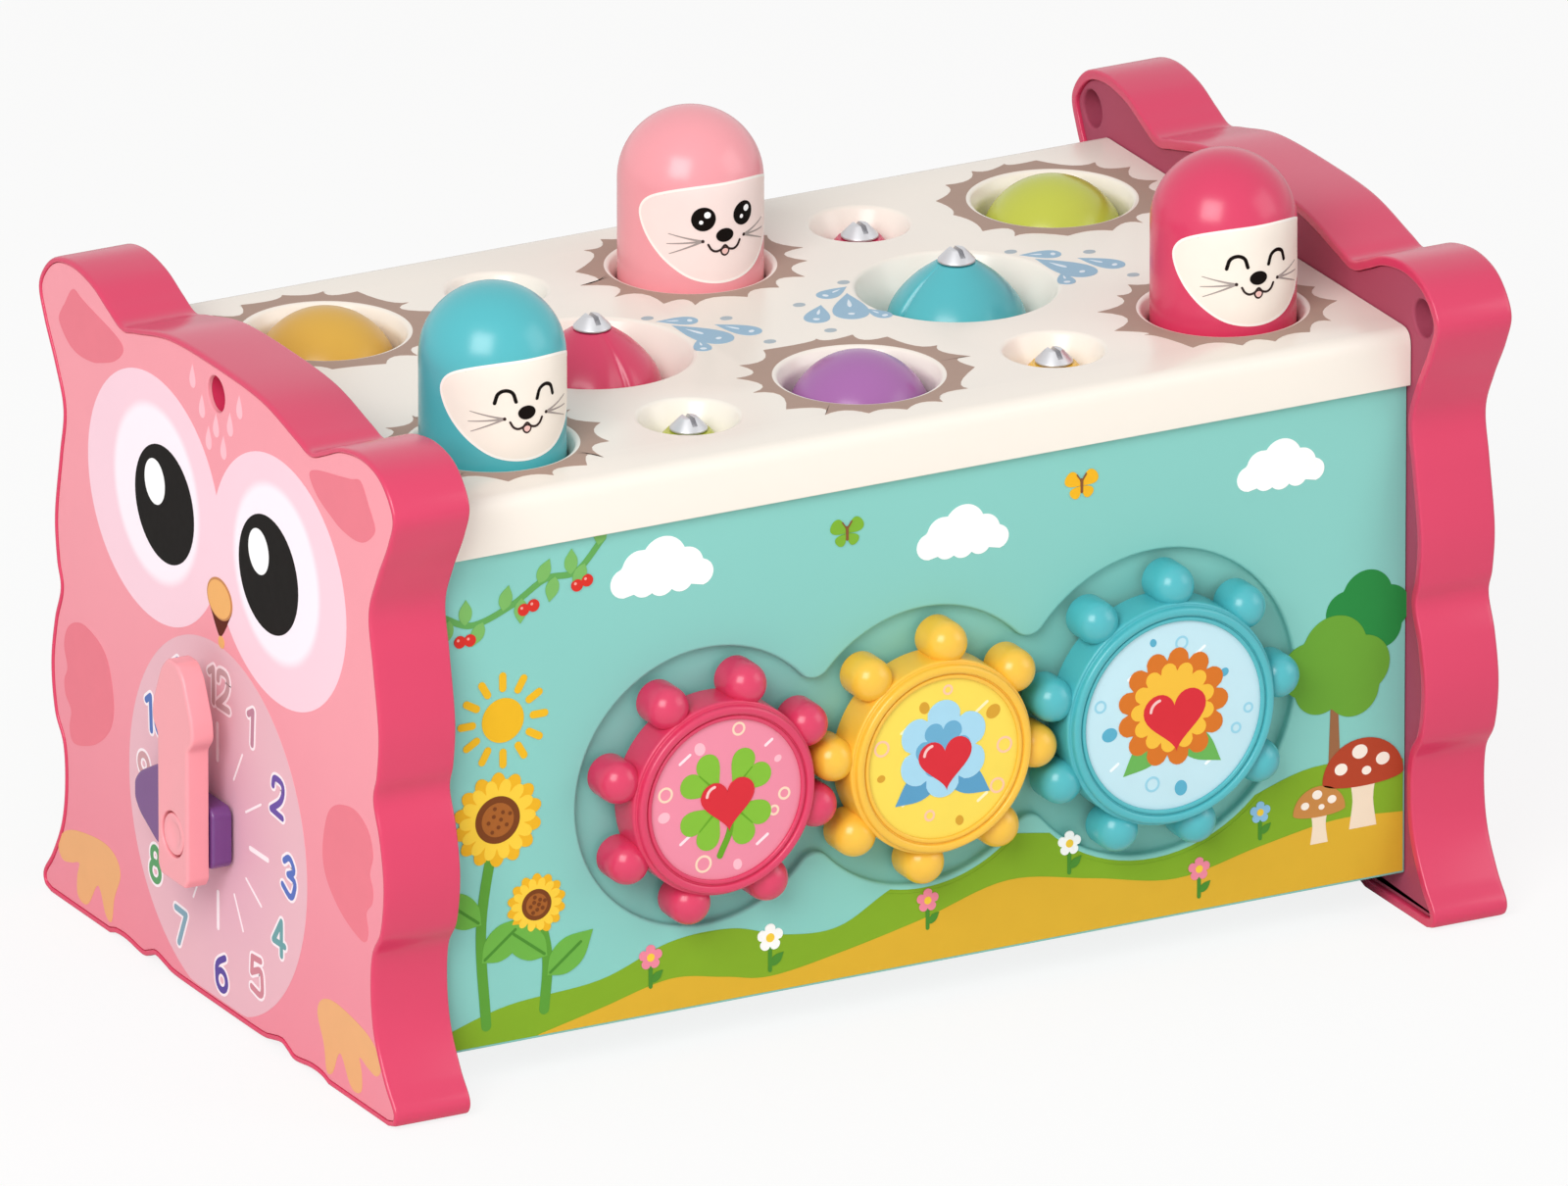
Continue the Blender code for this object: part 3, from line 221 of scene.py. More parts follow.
@dataclass(frozen=True)
class Finish:
    """A moulded or printed finish: colour that drifts a little, fine grain and gloss.

    Attributes:
        name: Name of the material.
        slot: The record's material slot.
        colour: Main colour.
        roughness: Mean roughness.
        drift: How far the colour drifts, as a share.
        drift_size: Size of a patch of drift.
        grain: Height of the mould's grain.
        grain_size: Size of one grain.
        coat: Weight of a clear coat.
        sheen: Level of the mirror-like reflection.
        metallic: Whether it is metal.
    """

    SMEARS: ClassVar[tuple[float, float]] = (0.82, 0.35)
    COAT_ROUGHNESS: ClassVar[float] = 0.12
    BUMP: ClassVar[float] = 0.5

    name: str
    slot: str
    colour: Colour
    roughness: float = 0.34
    drift: float = 0.05
    drift_size: float = 22 * MM
    grain: float = 0.006 * MM
    grain_size: float = 0.7 * MM
    coat: float = 0.0
    sheen: float = 0.3
    metallic: float = 0.0

    def tint(self, net: Net) -> Socket:
        """The colour over the surface."""
        return net.blend(net.noise(self.drift_size), shade(self.colour, 1 - self.drift),
                         shade(self.colour, 1 + self.drift))

    def gloss(self, net: Net) -> Socket:
        """The roughness over the surface: faint smears and scuffs."""
        lowest, spread = self.SMEARS
        return net.noise(self.drift_size / 3, 4.0) * (self.roughness * spread) + self.roughness * lowest

    def relief(self, net: Net) -> Socket:
        """The grain's height, from 0 to 1."""
        return net.noise(self.grain_size, 3.0)

    def material(self) -> bpy.types.Material:
        """The material of this finish, made once."""
        known = bpy.data.materials.get(self.name)
        if known:
            return known
        material = bpy.data.materials.new(self.name)
        net = Net(material)
        net.feed("Base Color", self.tint(net))
        net.feed("Roughness", self.gloss(net))
        net.feed("Metallic", self.metallic)
        net.feed("Coat Weight", self.coat)
        net.feed("Coat Roughness", self.COAT_ROUGHNESS)
        net.feed("Specular IOR Level", self.sheen)
        net.feed("Normal", net.add("ShaderNodeBump", values={
            "Strength": self.BUMP, "Distance": self.grain, "Height": self.relief(net)}))
        material.diffuse_color = self.colour
        return material

    def ink(self, name: str, code: str, roughness: float = 0.36) -> "Finish":
        """A printed ink on this finish."""
        return Finish(f"ink_{name}", self.slot, paint(code), roughness, drift=0.025,
                      drift_size=6 * MM, grain=0.003 * MM, sheen=0.04)


@dataclass(frozen=True)
class SpotBlendPrintAndShade(Finish):
    """A print whose colour turns smoothly to another within a distance of two mirrored spots; the second
    colour is print on the eye rings, and painted shade of the clock hands on the belly.
    """

    heart: Colour = (1.0, 1.0, 1.0, 1.0)
    spot: Point = (0.0, 0.0)
    reach: Point = (0.0, 0.0)

    def tint(self, net: Net) -> Socket:
        """The heart's colour round the spots, and the main colour beyond."""
        _, y, z = net.axes()
        across, up = abs(y) - self.spot[0], z - self.spot[1]
        glow = (across * across + up * up).root().between(self.reach[1], self.reach[0])
        return net.blend(glow, super().tint(net), self.heart)


@dataclass(frozen=True)
class RisingShadePrint(Finish):
    """A finish whose colour turns from a low colour to the main one with height; the low colour is painted
    shade, so the face is darker towards its foot.
    """

    # Painted shade at the foot of the face
    low: Colour = (1.0, 1.0, 1.0, 1.0)
    heights: Point = (0.0, 0.1)

    def tint(self, net: Net) -> Socket:
        """The low colour, painted shade, below, and the main colour above."""
        height = net.axes()[2] + net.noise(self.drift_size) * (4 * MM)
        return net.blend(height.between(*self.heights), self.low, super().tint(net))


@dataclass(frozen=True)
class BrushedSteel(Finish):
    """Plated steel with fine turned lines round its axis."""

    def relief(self, net: Net) -> Socket:
        """Lines that run round the part, closer than the grain is wide."""
        return net.add("ShaderNodeTexNoise", values={
            "Vector": net.add("ShaderNodeVectorMath", {"operation": "MULTIPLY"}, {
                0: net.places(), 1: (0.06, 0.06, 1.0)}), "Scale": 1 / self.grain_size, "Detail": 4.0})


CRIMSON = Finish("crimson_plastic", "crimson_plastic", paint("D62A57"), 0.33, sheen=0.18)
DULL_CRIMSON = Finish("dull_crimson_plastic", "dull_crimson_plastic", paint("B8405C"), 0.46)
CREAM = Finish("cream_plastic", "cream_plastic", paint("F7EEE2"), 0.36, drift=0.02)
TEAL_PANEL = Finish("teal_panel", "teal_panel", paint("7FCABF"), 0.42, drift=0.03,
                    drift_size=60 * MM, sheen=0.15)
TEAL = Finish("teal_plastic", "teal_plastic", paint("3FB2BA"), 0.3, coat=0.08)
PINK = Finish("pink_plastic", "pink_plastic", paint("F096A1"), 0.34, coat=0.05)
YELLOW = Finish("yellow_plastic", "yellow_plastic", paint("EEAE35"), 0.3, coat=0.08)
MUSTARD = Finish("mustard_plastic", "yellow_plastic", paint("D9A945"), 0.32, coat=0.05)
GREEN = Finish("green_plastic", "green_plastic", paint("B4BE3C"), 0.32, coat=0.05)
PURPLE = Finish("purple_plastic", "purple_plastic", paint("8C5286"), 0.32, coat=0.05)
DARK_PURPLE = Finish("dark_purple_plastic", "dark_purple_plastic", paint("7A4A86"), 0.34, sheen=0.15)
GREY = Finish("grey_plastic", "grey_plastic", paint("9A9CA2"), 0.5)
STEEL = BrushedSteel("steel", "steel", paint("C4C5CA"), 0.14, drift=0.03, grain_size=0.25 * MM, metallic=1.0)


# ---- Lines ----


def eased(corners: Sequence[tuple[float, float, float]], closed: bool = False) -> list[Vector]:
    """A line through corners, each rounded off.

    Args:
        corners: Two coordinates of each corner, and how far from it the rounding starts.
        closed: Whether the last corner joins the first.

    Returns:
        The line's points.
    """
    line = []
    for i, (x, y, ease) in enumerate(corners):
        here = Vector((x, y))
        if ease <= 0 or (not closed and i in (0, len(corners) - 1)):
            line.append(here)
            continue
        before = Vector(corners[i - 1][:2]) - here
        after = Vector(corners[(i + 1) % len(corners)][:2]) - here
        start = here + before.normalized() * min(ease, before.length / 2)
        end = here + after.normalized() * min(ease, after.length / 2)
        for k in range(EASE_STEPS + 1):
            t = k / EASE_STEPS
            line.append(start * (1 - t) ** 2 + here * (2 * t * (1 - t)) + end * t ** 2)
    return line


def flowing(points: Line, steps: int = 6, closed: bool = False) -> list[Vector]:
    """A smooth curve through points.

    Args:
        points: The points, of which two coordinates count.
        steps: The number of steps from each point to the next.
        closed: Whether the last point joins the first.

    Returns:
        The curve's points.
    """
    knots = [Vector(point[:2]) for point in points]
    if closed:
        knots = [knots[-1]] + knots + knots[:2]
    else:
        knots = [knots[0] * 2 - knots[1]] + knots + [knots[-1] * 2 - knots[-2]]
    curve = []
    for a, b, c, d in zip(knots, knots[1:], knots[2:], knots[3:]):
        for i in range(steps):
            t = i / steps
            curve.append((b * 2 + (c - a) * t + (a * 2 - b * 5 + c * 4 - d) * t ** 2
                          + (b * 3 - a - c * 3 + d) * t ** 3) / 2)
    return curve if closed else curve + [knots[-2]]


def heading(turn: float) -> Vector:
    """The flat direction at an angle."""
    return Vector((math.cos(turn), math.sin(turn)))


def oval(centre: Point, across: float, up: float, turn: float = 0.0, steps: int = 56) -> list[Vector]:
    """An oval by its centre and half sizes, turned anticlockwise."""
    tilt = Matrix.Rotation(turn, 2)
    return [Vector(centre) + tilt @ Vector((across * math.cos(FULL_TURN * i / steps),
                                            up * math.sin(FULL_TURN * i / steps))) for i in range(steps)]


def drop(tip: Point, length: float, width: float, turn: float, steps: int = 36) -> list[Vector]:
    """The outline of a drop.

    Args:
        tip: Its pointed end.
        length: The distance from there to the round end.
        width: Its width.
        turn: The direction from the tip to the round end.
        steps: The number of points.

    Returns:
        The outline, clockwise.
    """
    tilt = Matrix.Rotation(turn, 2)
    points = []
    for i in range(steps):
        a = FULL_TURN * i / steps
        along = length * (1 - math.cos(a)) / 2
        across = width * 0.65 * math.sin(a) * abs(math.sin(a / 2)) ** 1.4
        points.append(Vector(tip) + tilt @ Vector((along, -across)))
    return points


def placed(line: Iterable[Point], at: Point, size: float = 1.0, turn: float = 0.0,
           mirror: bool = False) -> list[Vector]:
    """A line that is mirrored across when asked, scaled, turned and moved.

    Args:
        line: The line's points.
        at: Where its origin goes.
        size: Its scale.
        turn: Its turn, anticlockwise.
        mirror: Whether left and right change places.

    Returns:
        The new points, in reverse order when mirrored.
    """
    tilt = Matrix.Rotation(turn, 2)
    moved = [Vector(at) + tilt @ (Vector((-p[0] if mirror else p[0], p[1])) * size) for p in line]
    return moved[::-1] if mirror else moved


def inset(loop: Line, distance: float) -> list[Vector]:
    """A loop moved inwards, with what folds back at tight corners spread out.

    Args:
        loop: The points, anticlockwise.
        distance: How far each moves.

    Returns:
        As many points as the loop has.
    """
    moved = []
    for i, point in enumerate(loop):
        here = Vector(point)
        inward = (here - Vector(loop[i - 1])).normalized()
        outward = (Vector(loop[(i + 1) % len(loop)]) - here).normalized()
        bisector = Vector((-inward.y, inward.x)) + Vector((-outward.y, outward.x))
        moved.append(here + bisector * (distance / max(SHARPEST_CORNER, 1 + inward.dot(outward))))
    for _ in range(UNFOLD_ROUNDS):
        for i, point in enumerate(loop):
            step = Vector(point) - Vector(loop[i - 1])
            if (moved[i] - moved[i - 1]).dot(step) <= 0:
                middle = (moved[i] + moved[i - 1]) / 2
                moved[i - 1], moved[i] = middle - step * UNFOLD_STEP, middle + step * UNFOLD_STEP
    return moved


# ---- Meshes ----


def skin(rings: Sequence[Sequence[Vector]], closed: bool = False) -> Mesh:
    """A closed body through rings of points.

    Args:
        rings: Loops with the same number of points.
        closed: Whether the last ring joins the first; otherwise both are capped.

    Returns:
        The mesh.
    """
    mesh = bmesh.new()
    loops = [[mesh.verts.new(point) for point in ring] for ring in rings]
    for lower, upper in zip(loops, loops[1:] + loops[:1] if closed else loops[1:]):
        for i in range(len(lower)):
            j = (i + 1) % len(lower)
            mesh.faces.new((lower[i], lower[j], upper[j], upper[i]))
    if not closed:
        mesh.faces.new(loops[0])
        mesh.faces.new(loops[-1])
    bmesh.ops.recalc_face_normals(mesh, faces=mesh.faces)
    return mesh


def turned(profile: Line, steps: int = TURN_STEPS, closed: bool = False) -> Mesh:
    """A body turned about Z.

    Args:
        profile: Its (radius, height) points.
        steps: The number of steps round it.
        closed: Whether the last point joins the first, which makes a ring.

    Returns:
        The mesh.
    """
    mesh = bmesh.new()
    rows = []
    for radius, height in profile:
        if radius <= 1e-9:
            rows.append([mesh.verts.new((0, 0, height))])
            continue
        rows.append([mesh.verts.new((radius * math.cos(FULL_TURN * i / steps),
                                     radius * math.sin(FULL_TURN * i / steps), height))
                     for i in range(steps)])
    for lower, upper in zip(rows, rows[1:] + rows[:1] if closed else rows[1:]):
        for i in range(steps):
            j = (i + 1) % steps
            corners = (lower[i % len(lower)], lower[j % len(lower)],
                       upper[j % len(upper)], upper[i % len(upper)])
            corners = tuple(dict.fromkeys(corners))
            if len(corners) > 2:
                mesh.faces.new(corners)
    bmesh.ops.recalc_face_normals(mesh, faces=mesh.faces)
    return mesh


def rod(radius: float, low: float, high: float) -> Line:
    """The profile of a plain round body between two heights."""
    return (0, low), (radius, low), (radius, high), (0, high)


def aimed(mesh: Mesh, direction: Point, place: Point = (0, 0, 0)) -> Mesh:
    """The mesh with its Z axis turned to a direction, and then moved to a place."""
    turn = Vector((0, 0, 1)).rotation_difference(Vector(direction)).to_matrix().to_4x4()
    bmesh.ops.transform(mesh, matrix=Matrix.Translation(place) @ turn, verts=mesh.verts)
    return mesh


def gathered(meshes: Iterable[Mesh]) -> Mesh:
    """Several meshes as one, with their bodies still separate."""
    whole = bmesh.new()
    for mesh in meshes:
        part = bpy.data.meshes.new("part")
        mesh.to_mesh(part)
        mesh.free()
        whole.from_mesh(part)
        bpy.data.meshes.remove(part)
    return whole


class Joinery(Enum):
    """How one mesh is worked with another."""

    JOIN = "UNION"
    CUT = "DIFFERENCE"


def worked(base: Mesh, joinery: Joinery, tool: Mesh) -> Mesh:
    """Work a mesh with another.

    Args:
        base: The mesh that is kept, which is freed.
        joinery: Whether the tool is joined on or cut out.
        tool: The other mesh, which is freed.

    Returns:
        The result as a new mesh.
    """
    things = []
    for mesh in (base, tool):
        data = bpy.data.meshes.new("work")
        mesh.to_mesh(data)
        mesh.free()
        things.append(bpy.data.objects.new("work", data))
        bpy.context.scene.collection.objects.link(things[-1])
    modifier = things[0].modifiers.new("joinery", "BOOLEAN")
    modifier.operation, modifier.solver, modifier.object = joinery.value, "EXACT", things[1]
    result = bmesh.new()
    result.from_object(things[0], bpy.context.evaluated_depsgraph_get())
    for thing in things:
        bpy.data.meshes.remove(thing.data)
    return result


def piece(name: str, mesh: Mesh, finish: Finish, body: str,
          nodes: Iterable[str] = ()) -> bpy.types.Object:
    """A piece of the visible toy.

    Args:
        name: Its name.
        mesh: Its mesh in the row frame, which is freed.
        finish: Its finish.
        body: The CAD body that it rides on.
        nodes: The CAD nodes that it stands for.

    Returns:
        The new object.
    """
    data = bpy.data.meshes.new(name)
    mesh.to_mesh(data)
    mesh.free()
    data.shade_smooth()
    data.set_sharp_from_angle(angle=SMOOTH_ANGLE)
    data.materials.append(finish.material())
    thing = bpy.data.objects.new(name, data)
    bpy.context.scene.collection.objects.link(thing)
    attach(thing, body)
    if nodes:
        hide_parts(*nodes)
    LOG.info("%s rides on %s", name, body)
    return thing


def dress(finish: Finish, *nodes: str) -> None:
    """Give CAD nodes that stay a finish."""
    for node in nodes:
        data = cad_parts[node].data
        data.materials.clear()
        data.materials.append(finish.material())


@dataclass(frozen=True)
class Bounds:
    """The box of a CAD node."""

    low: Vector
    high: Vector

    @classmethod
    def of(cls, node: str) -> "Bounds":
        """The box of the named node."""
        return cls(*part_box(node))

    @property
    def centre(self) -> Vector:
        """The middle of the box."""
        return (self.low + self.high) / 2

    @property
    def size(self) -> Vector:
        """The box's length, width and height."""
        return self.high - self.low


# ---- Prints ----


@dataclass(frozen=True)
class Flat:
    """A flat face to print on, by an origin and its directions across and up."""

    origin: Vector
    across: Vector
    up: Vector = Vector((0, 0, 1))

    def at(self, point: Point, lift: float) -> Vector:
        """The place of a print's point, lifted off the face."""
        return (self.origin + self.across * point[0] + self.up * point[1]
                + self.across.cross(self.up) * lift)


@dataclass(frozen=True)
class Turning:
    """The side of a turned body on Z, printed from the front: across is an arc at the widest radius."""

    axis: Vector
    widest: float
    profile: tuple[tuple[float, float], ...]

    def radius(self, height: float) -> float:
        """The body's radius at a height, from its (radius, height) profile."""
        for (r0, z0), (r1, z1) in zip(self.profile, self.profile[1:]):
            if min(z0, z1) <= height <= max(z0, z1) and z0 != z1:
                return r0 + (r1 - r0) * (height - z0) / (z1 - z0)
        return self.profile[-1][0]

    def at(self, point: Point, lift: float) -> Vector:
        """The place of a print's point, lifted off the body."""
        angle, height = point[0] / self.widest, point[1]
        step = 0.2 * MM
        slope = (self.radius(height + step) - self.radius(height - step)) / (2 * step)
        lean = 1 / math.hypot(1, slope)
        radius = self.radius(height) + lift * lean
        return self.axis + Vector((radius * math.sin(angle), -radius * math.cos(angle),
                                   height - lift * lean * slope))


class Printer:
    """Prints on one face: gathers thin raised shapes by ink, and makes one piece of each ink."""

    LAYER = 0.05 * MM
    STEP = 0.003 * MM
    PLANES = 7
    ROOT = 0.08 * MM
    HEART = 0.15
    CAP_TURNS = (80, 55, 28)

    def __init__(self, name: str, face: Flat | Turning, body: str, rings: int = 0,
                 trim: Callable[[], Mesh] | None = None) -> None:
        """Start a print.

        Args:
            name: First part of the names of its pieces.
            face: The face that it is printed on.
            body: The CAD body that it rides on.
            rings: Rings inside each shape, so that it follows a curved face.
            trim: Makes the cutter of what trimmed shapes stop at.
        """
        self.name, self.face, self.body, self.rings, self.trim = name, face, body, rings, trim
        self.shapes: dict[Finish, list[Mesh]] = {}

    def lifts(self, ink: Finish, layer: float) -> tuple[float, float]:
        """The heights of a shape's underside and top; shapes of one ink never share a plane."""
        return -self.ROOT, self.LAYER * layer + self.STEP * (len(self.shapes.get(ink, ())) % self.PLANES)

    def blot(self, ink: Finish, outline: Line, layer: float = 1, trimmed: bool = False) -> None:
        """Print a filled outline.

        Args:
            ink: Its ink.
            outline: Its points on the face.
            layer: How high it lies; a higher layer covers a lower one.
            trimmed: Whether it stops at what the trim cuts out.
        """
        low, high = self.lifts(ink, layer)
        middle = sum((Vector(p[:2]) for p in outline), Vector((0, 0))) / len(outline)
        shares = ([(i + self.HEART) / (self.rings + self.HEART) for i in range(self.rings + 1)]
                  if self.rings else [1.0])
        stations = [(share, low) for share in shares] + [(share, high) for share in shares[::-1]]
        shape = skin([[self.face.at(middle + (Vector(p[:2]) - middle) * share, lift) for p in outline]
                      for share, lift in stations])
        if trimmed and self.trim:
            shape = worked(shape, Joinery.CUT, self.trim())
        self.shapes.setdefault(ink, []).append(shape)

    def strip(self, ink: Finish, left: Line, right: Line, layer: float = 1, closed: bool = False) -> None:
        """Print the strip between two lines with the same number of points."""
        low, high = self.lifts(ink, layer)
        self.shapes.setdefault(ink, []).append(skin([
            [self.face.at(a, low), self.face.at(b, low), self.face.at(b, high), self.face.at(a, high)]
            for a, b in zip(left, right)], closed))

    def stroke(self, ink: Finish, path: Line, half_width: float, layer: float = 1,
               closed: bool = False, taper: float = 1.0) -> None:
        """Print a line with round ends.

        Args:
            ink: Its ink.
            path: Its points on the face.
            half_width: Half of its width at its start.
            layer: How high it lies.
            closed: Whether its end joins its start.
            taper: The share of the width that is left at its end.
        """
        points = [Vector(p[:2]) for p in path]
        widths = [half_width * (1 + (taper - 1) * i / max(1, len(points) - 1)) for i in range(len(points))]
        ways = []
        for i, here in enumerate(points):
            if closed:
                ways.append((points[(i + 1) % len(points)] - points[i - 1]).normalized())
            else:
                ways.append((points[min(i + 1, len(points) - 1)] - points[max(i - 1, 0)]).normalized())
        if not closed:
            turns = [math.radians(a) for a in self.CAP_TURNS]
            first, last = points[0].copy(), points[-1].copy()
            start_way, end_way, start_width, end_width = ways[0], ways[-1], widths[0], widths[-1]
            points = [first - start_way * start_width * math.sin(a) for a in turns] + points
            points += [last + end_way * end_width * math.sin(a) for a in turns[::-1]]
            widths = [start_width * math.cos(a) for a in turns] + widths
            widths += [end_width * math.cos(a) for a in turns[::-1]]
            ways = [start_way] * len(turns) + ways + [end_way] * len(turns)
        sides = [Vector((-way.y, way.x)) for way in ways]
        self.strip(ink, [p + s * w for p, s, w in zip(points, sides, widths)],
                   [p - s * w for p, s, w in zip(points, sides, widths)], layer, closed)

    def finish(self) -> None:
        """Make the pieces."""
        for ink, shapes in self.shapes.items():
            piece(f"{self.name}_{ink.name}", gathered(shapes), ink, self.body)


class Picture:
    """A print whose inks are told apart by their screen codes."""

    print: Printer

    def ink(self, code: str) -> Finish:
        """The ink of a screen code."""
        raise NotImplementedError

    def fill(self, code: str, outline: Line, layer: float = 1, trimmed: bool = False) -> None:
        """Print a filled outline."""
        self.print.blot(self.ink(code), outline, layer, trimmed)

    def draw(self, code: str, path: Line, half_width: float, layer: float = 1, closed: bool = False,
             taper: float = 1.0) -> None:
        """Print a line of that half width."""
        self.print.stroke(self.ink(code), path, half_width, layer, closed, taper)


# ---- The owl ends ----


class Side(Enum):
    """The two ends of the box along X."""

    LEFT = -1
    RIGHT = 1

    @property
    def hand(self) -> str:
        """The word in the nodes' names."""
        return self.name.lower()


@dataclass
class OwlEnd:
    """One owl-shaped end: its shell, printed face plate, inner cover and screws.

    Distances along X are counted outwards from the middle of the box.
    """

    side: Side
    # Half outline from the top of the head to the foot, as shares of half width and height
    side_shares: Line = (
        (0.000, 0.9925), (0.258, 0.9875), (0.450, 0.9635), (0.528, 0.9540), (0.600, 0.9685),
        (0.697, 0.9910), (0.820, 1.0000), (0.930, 0.9840), (1.000, 0.9370), (0.974, 0.8870),
        (0.910, 0.8240), (0.866, 0.7640), (0.888, 0.6920), (0.918, 0.5950), (0.908, 0.5260),
        (0.888, 0.4850), (0.922, 0.4320), (0.944, 0.3600), (0.925, 0.2880), (0.878, 0.2440),
        (0.870, 0.1820), (0.890, 0.1220), (0.944, 0.0660), (0.994, 0.0300), (0.988, 0.0080),
        (0.950, 0.0000))
    underside_shares: Line = (
        (0.618, 0.0000), (0.580, 0.0058), (0.520, 0.0068), (0.430, 0.0010), (0.390, 0.0080),
        (0.354, 0.0138), (0.300, 0.0085), (0.250, 0.0038), (0.120, 0.0030))
    wall: float = 2.4 * MM
    web: float = 2.2 * MM
    fit: float = 0.1 * MM
    rim_width: float = 1.3 * MM
    rim_round: float = 1.3 * MM
    lip_round: float = 0.45 * MM
    edge_round: float = 0.7 * MM
    plate_thickness: float = 1.5 * MM
    plate_sink: float = 0.3 * MM
    plate_round: float = 0.3 * MM
    plate_lap: float = 0.8 * MM
    cover_thickness: float = 2.5 * MM
    cover_lap: float = 1.2 * MM
    ear_shares: Point = (0.8990, 0.9300)
    cup_radius: float = 4.5 * MM
    cup_depth: float = 7.0 * MM
    cup_round: float = 0.8 * MM
    cup_wall: float = 1.4 * MM
    brow_share: float = 0.9442
    brow_radius: float = 4.35 * MM
    brow_depth: float = 14.0 * MM
    brow_wall: float = 1.6 * MM
    tube_sink: float = 0.5 * MM
    clock_height: float = 45.0 * MM
    spindle_radius: float = 3.3 * MM
    screw_head_radius: float = 3.4 * MM
    screw_head_height: float = 2.2 * MM
    screw_length: float = 6.0 * MM
    screw_shank_radius: float = 1.6 * MM
    screw_dome: float = 0.9 * MM
    screw_round: float = 0.4 * MM
    cross_half: Point = mm(1.9, 0.45)
    cross_depth: float = 1.1 * MM

    def __post_init__(self) -> None:
        """Take the outer sizes from the CAD nodes."""
        shell = Bounds.of(f"{self.side.hand}_end_shell")
        cover = Bounds.of(f"{self.side.hand}_inner_cover")
        ends = (Bounds.of("left_end_shell").low.x, Bounds.of("right_end_shell").high.x)
        self.middle = (ends[0] + ends[1]) / 2
        self.face = (ends[1] - ends[0]) / 2
        self.back = self.face - shell.size.x
        self.cover_face = min(abs(cover.low.x - self.middle), abs(cover.high.x - self.middle))
        self.half_width = shell.high.y
        self.height = shell.size.z
        self.curve = self._curve()

    def _curve(self) -> list[Vector]:
        """The outline in Y and Z, anticlockwise, fitted to the CAD's half width."""
        side = [Vector((y, z)) for y, z in self.side_shares]
        mirrored = [Vector((-side[1].x, side[1].y))]
        down = flowing(mirrored + side, 8)[8:]
        under = flowing(self.underside_shares, 4)
        half = [Vector((p.x * self.half_width, max(0.0, p.y) * self.height)) for p in down + under]
        widest = max(p.x for p in half)
        half = [Vector((p.x * self.half_width / widest, p.y)) for p in half]
        return list(reversed(half[1:])) + [half[0]] + [Vector((-p.x, p.y)) for p in half[1:]]

    def rings(self, stations: Iterable[Point]) -> list[list[Vector]]:
        """Owl rings at distances along X, each moved inwards by its second number."""
        return [[Vector((self.middle + self.side.value * x, p.x, p.y))
                 for p in inset(self.curve, distance)]
                for x, distance in stations]

    def drill(self, profile: Line, y: float, z: float, steps: int = 64) -> Mesh:
        """A turned tool or form along X, with its heights counted outwards from the middle."""
        return aimed(turned(profile, steps), (self.side.value, 0, 0), (self.middle, y, z))

    def ears(self) -> list[Point]:
        """The places of the ear cups in Y and Z."""
        y, z = self.half_width * self.ear_shares[0], self.height * self.ear_shares[1]
        return [(-y, z), (y, z)]

    def hole(self, radius: float, low: float, high: float, lip: float) -> Line:
        """The profile of a hole's tool whose mouth at the high end is rounded by a lip."""
        wide = radius + lip * 1.5
        return eased(((0, low, 0), (radius, low, lip), (radius, high, lip), (wide, high, 0),
                      (wide, high + OVER, 0), (0, high + OVER, 0)))

    def shell(self) -> None:
        """The shell with its rounded rim and brow socket."""
        seat = self.face - self.plate_thickness - self.fit
        rim = self.rim_width
        inside = seat - self.web
        section = eased(((seat, rim, 0), (self.face, rim, self.lip_round), (self.face, 0, self.rim_round),
                         (self.back, 0, self.edge_round), (self.back, self.wall, self.lip_round),
                         (inside, self.wall, 0)))
        mesh = skin(self.rings(section))
        brow_z, floor = self.height * self.brow_share, self.face - self.brow_depth
        tube = rod(self.brow_radius + self.brow_wall, inside + self.tube_sink, floor - self.brow_wall)
        mesh = worked(mesh, Joinery.JOIN, self.drill(tube, 0, brow_z))
        tools = [self.drill(rod(self.brow_radius, floor, self.face + OVER), 0, brow_z)]
        if self.side is Side.LEFT:
            tools.append(self.drill(rod(self.spindle_radius, inside - OVER, seat + OVER), 0,
                                    self.clock_height))
        mesh = worked(mesh, Joinery.CUT, gathered(tools))
        piece(f"{self.side.hand}_shell", mesh, CRIMSON, "box", [f"{self.side.hand}_end_shell"])

    def plate(self) -> None:
        """The printed plate, a little below the rim, with its holes."""
        gap = self.rim_width + self.fit
        low, high = self.face - self.plate_thickness, self.face - self.plate_sink
        mesh = skin(self.rings(eased(((low, gap, 0), (high, gap, self.plate_round),
                                      (high, gap + self.plate_lap, 0)))))
        tools = [self.drill(self.hole(self.brow_radius, low - OVER, high, self.lip_round), 0,
                            self.height * self.brow_share)]
        if self.side is Side.LEFT:
            tools.append(self.drill(self.hole(self.spindle_radius, low - OVER, high, 0), 0,
                                    self.clock_height))
        mesh = worked(mesh, Joinery.CUT, gathered(tools))
        piece(f"{self.side.hand}_plate", mesh, FACE_PINK, "box", [f"{self.side.hand}_face_plate"])

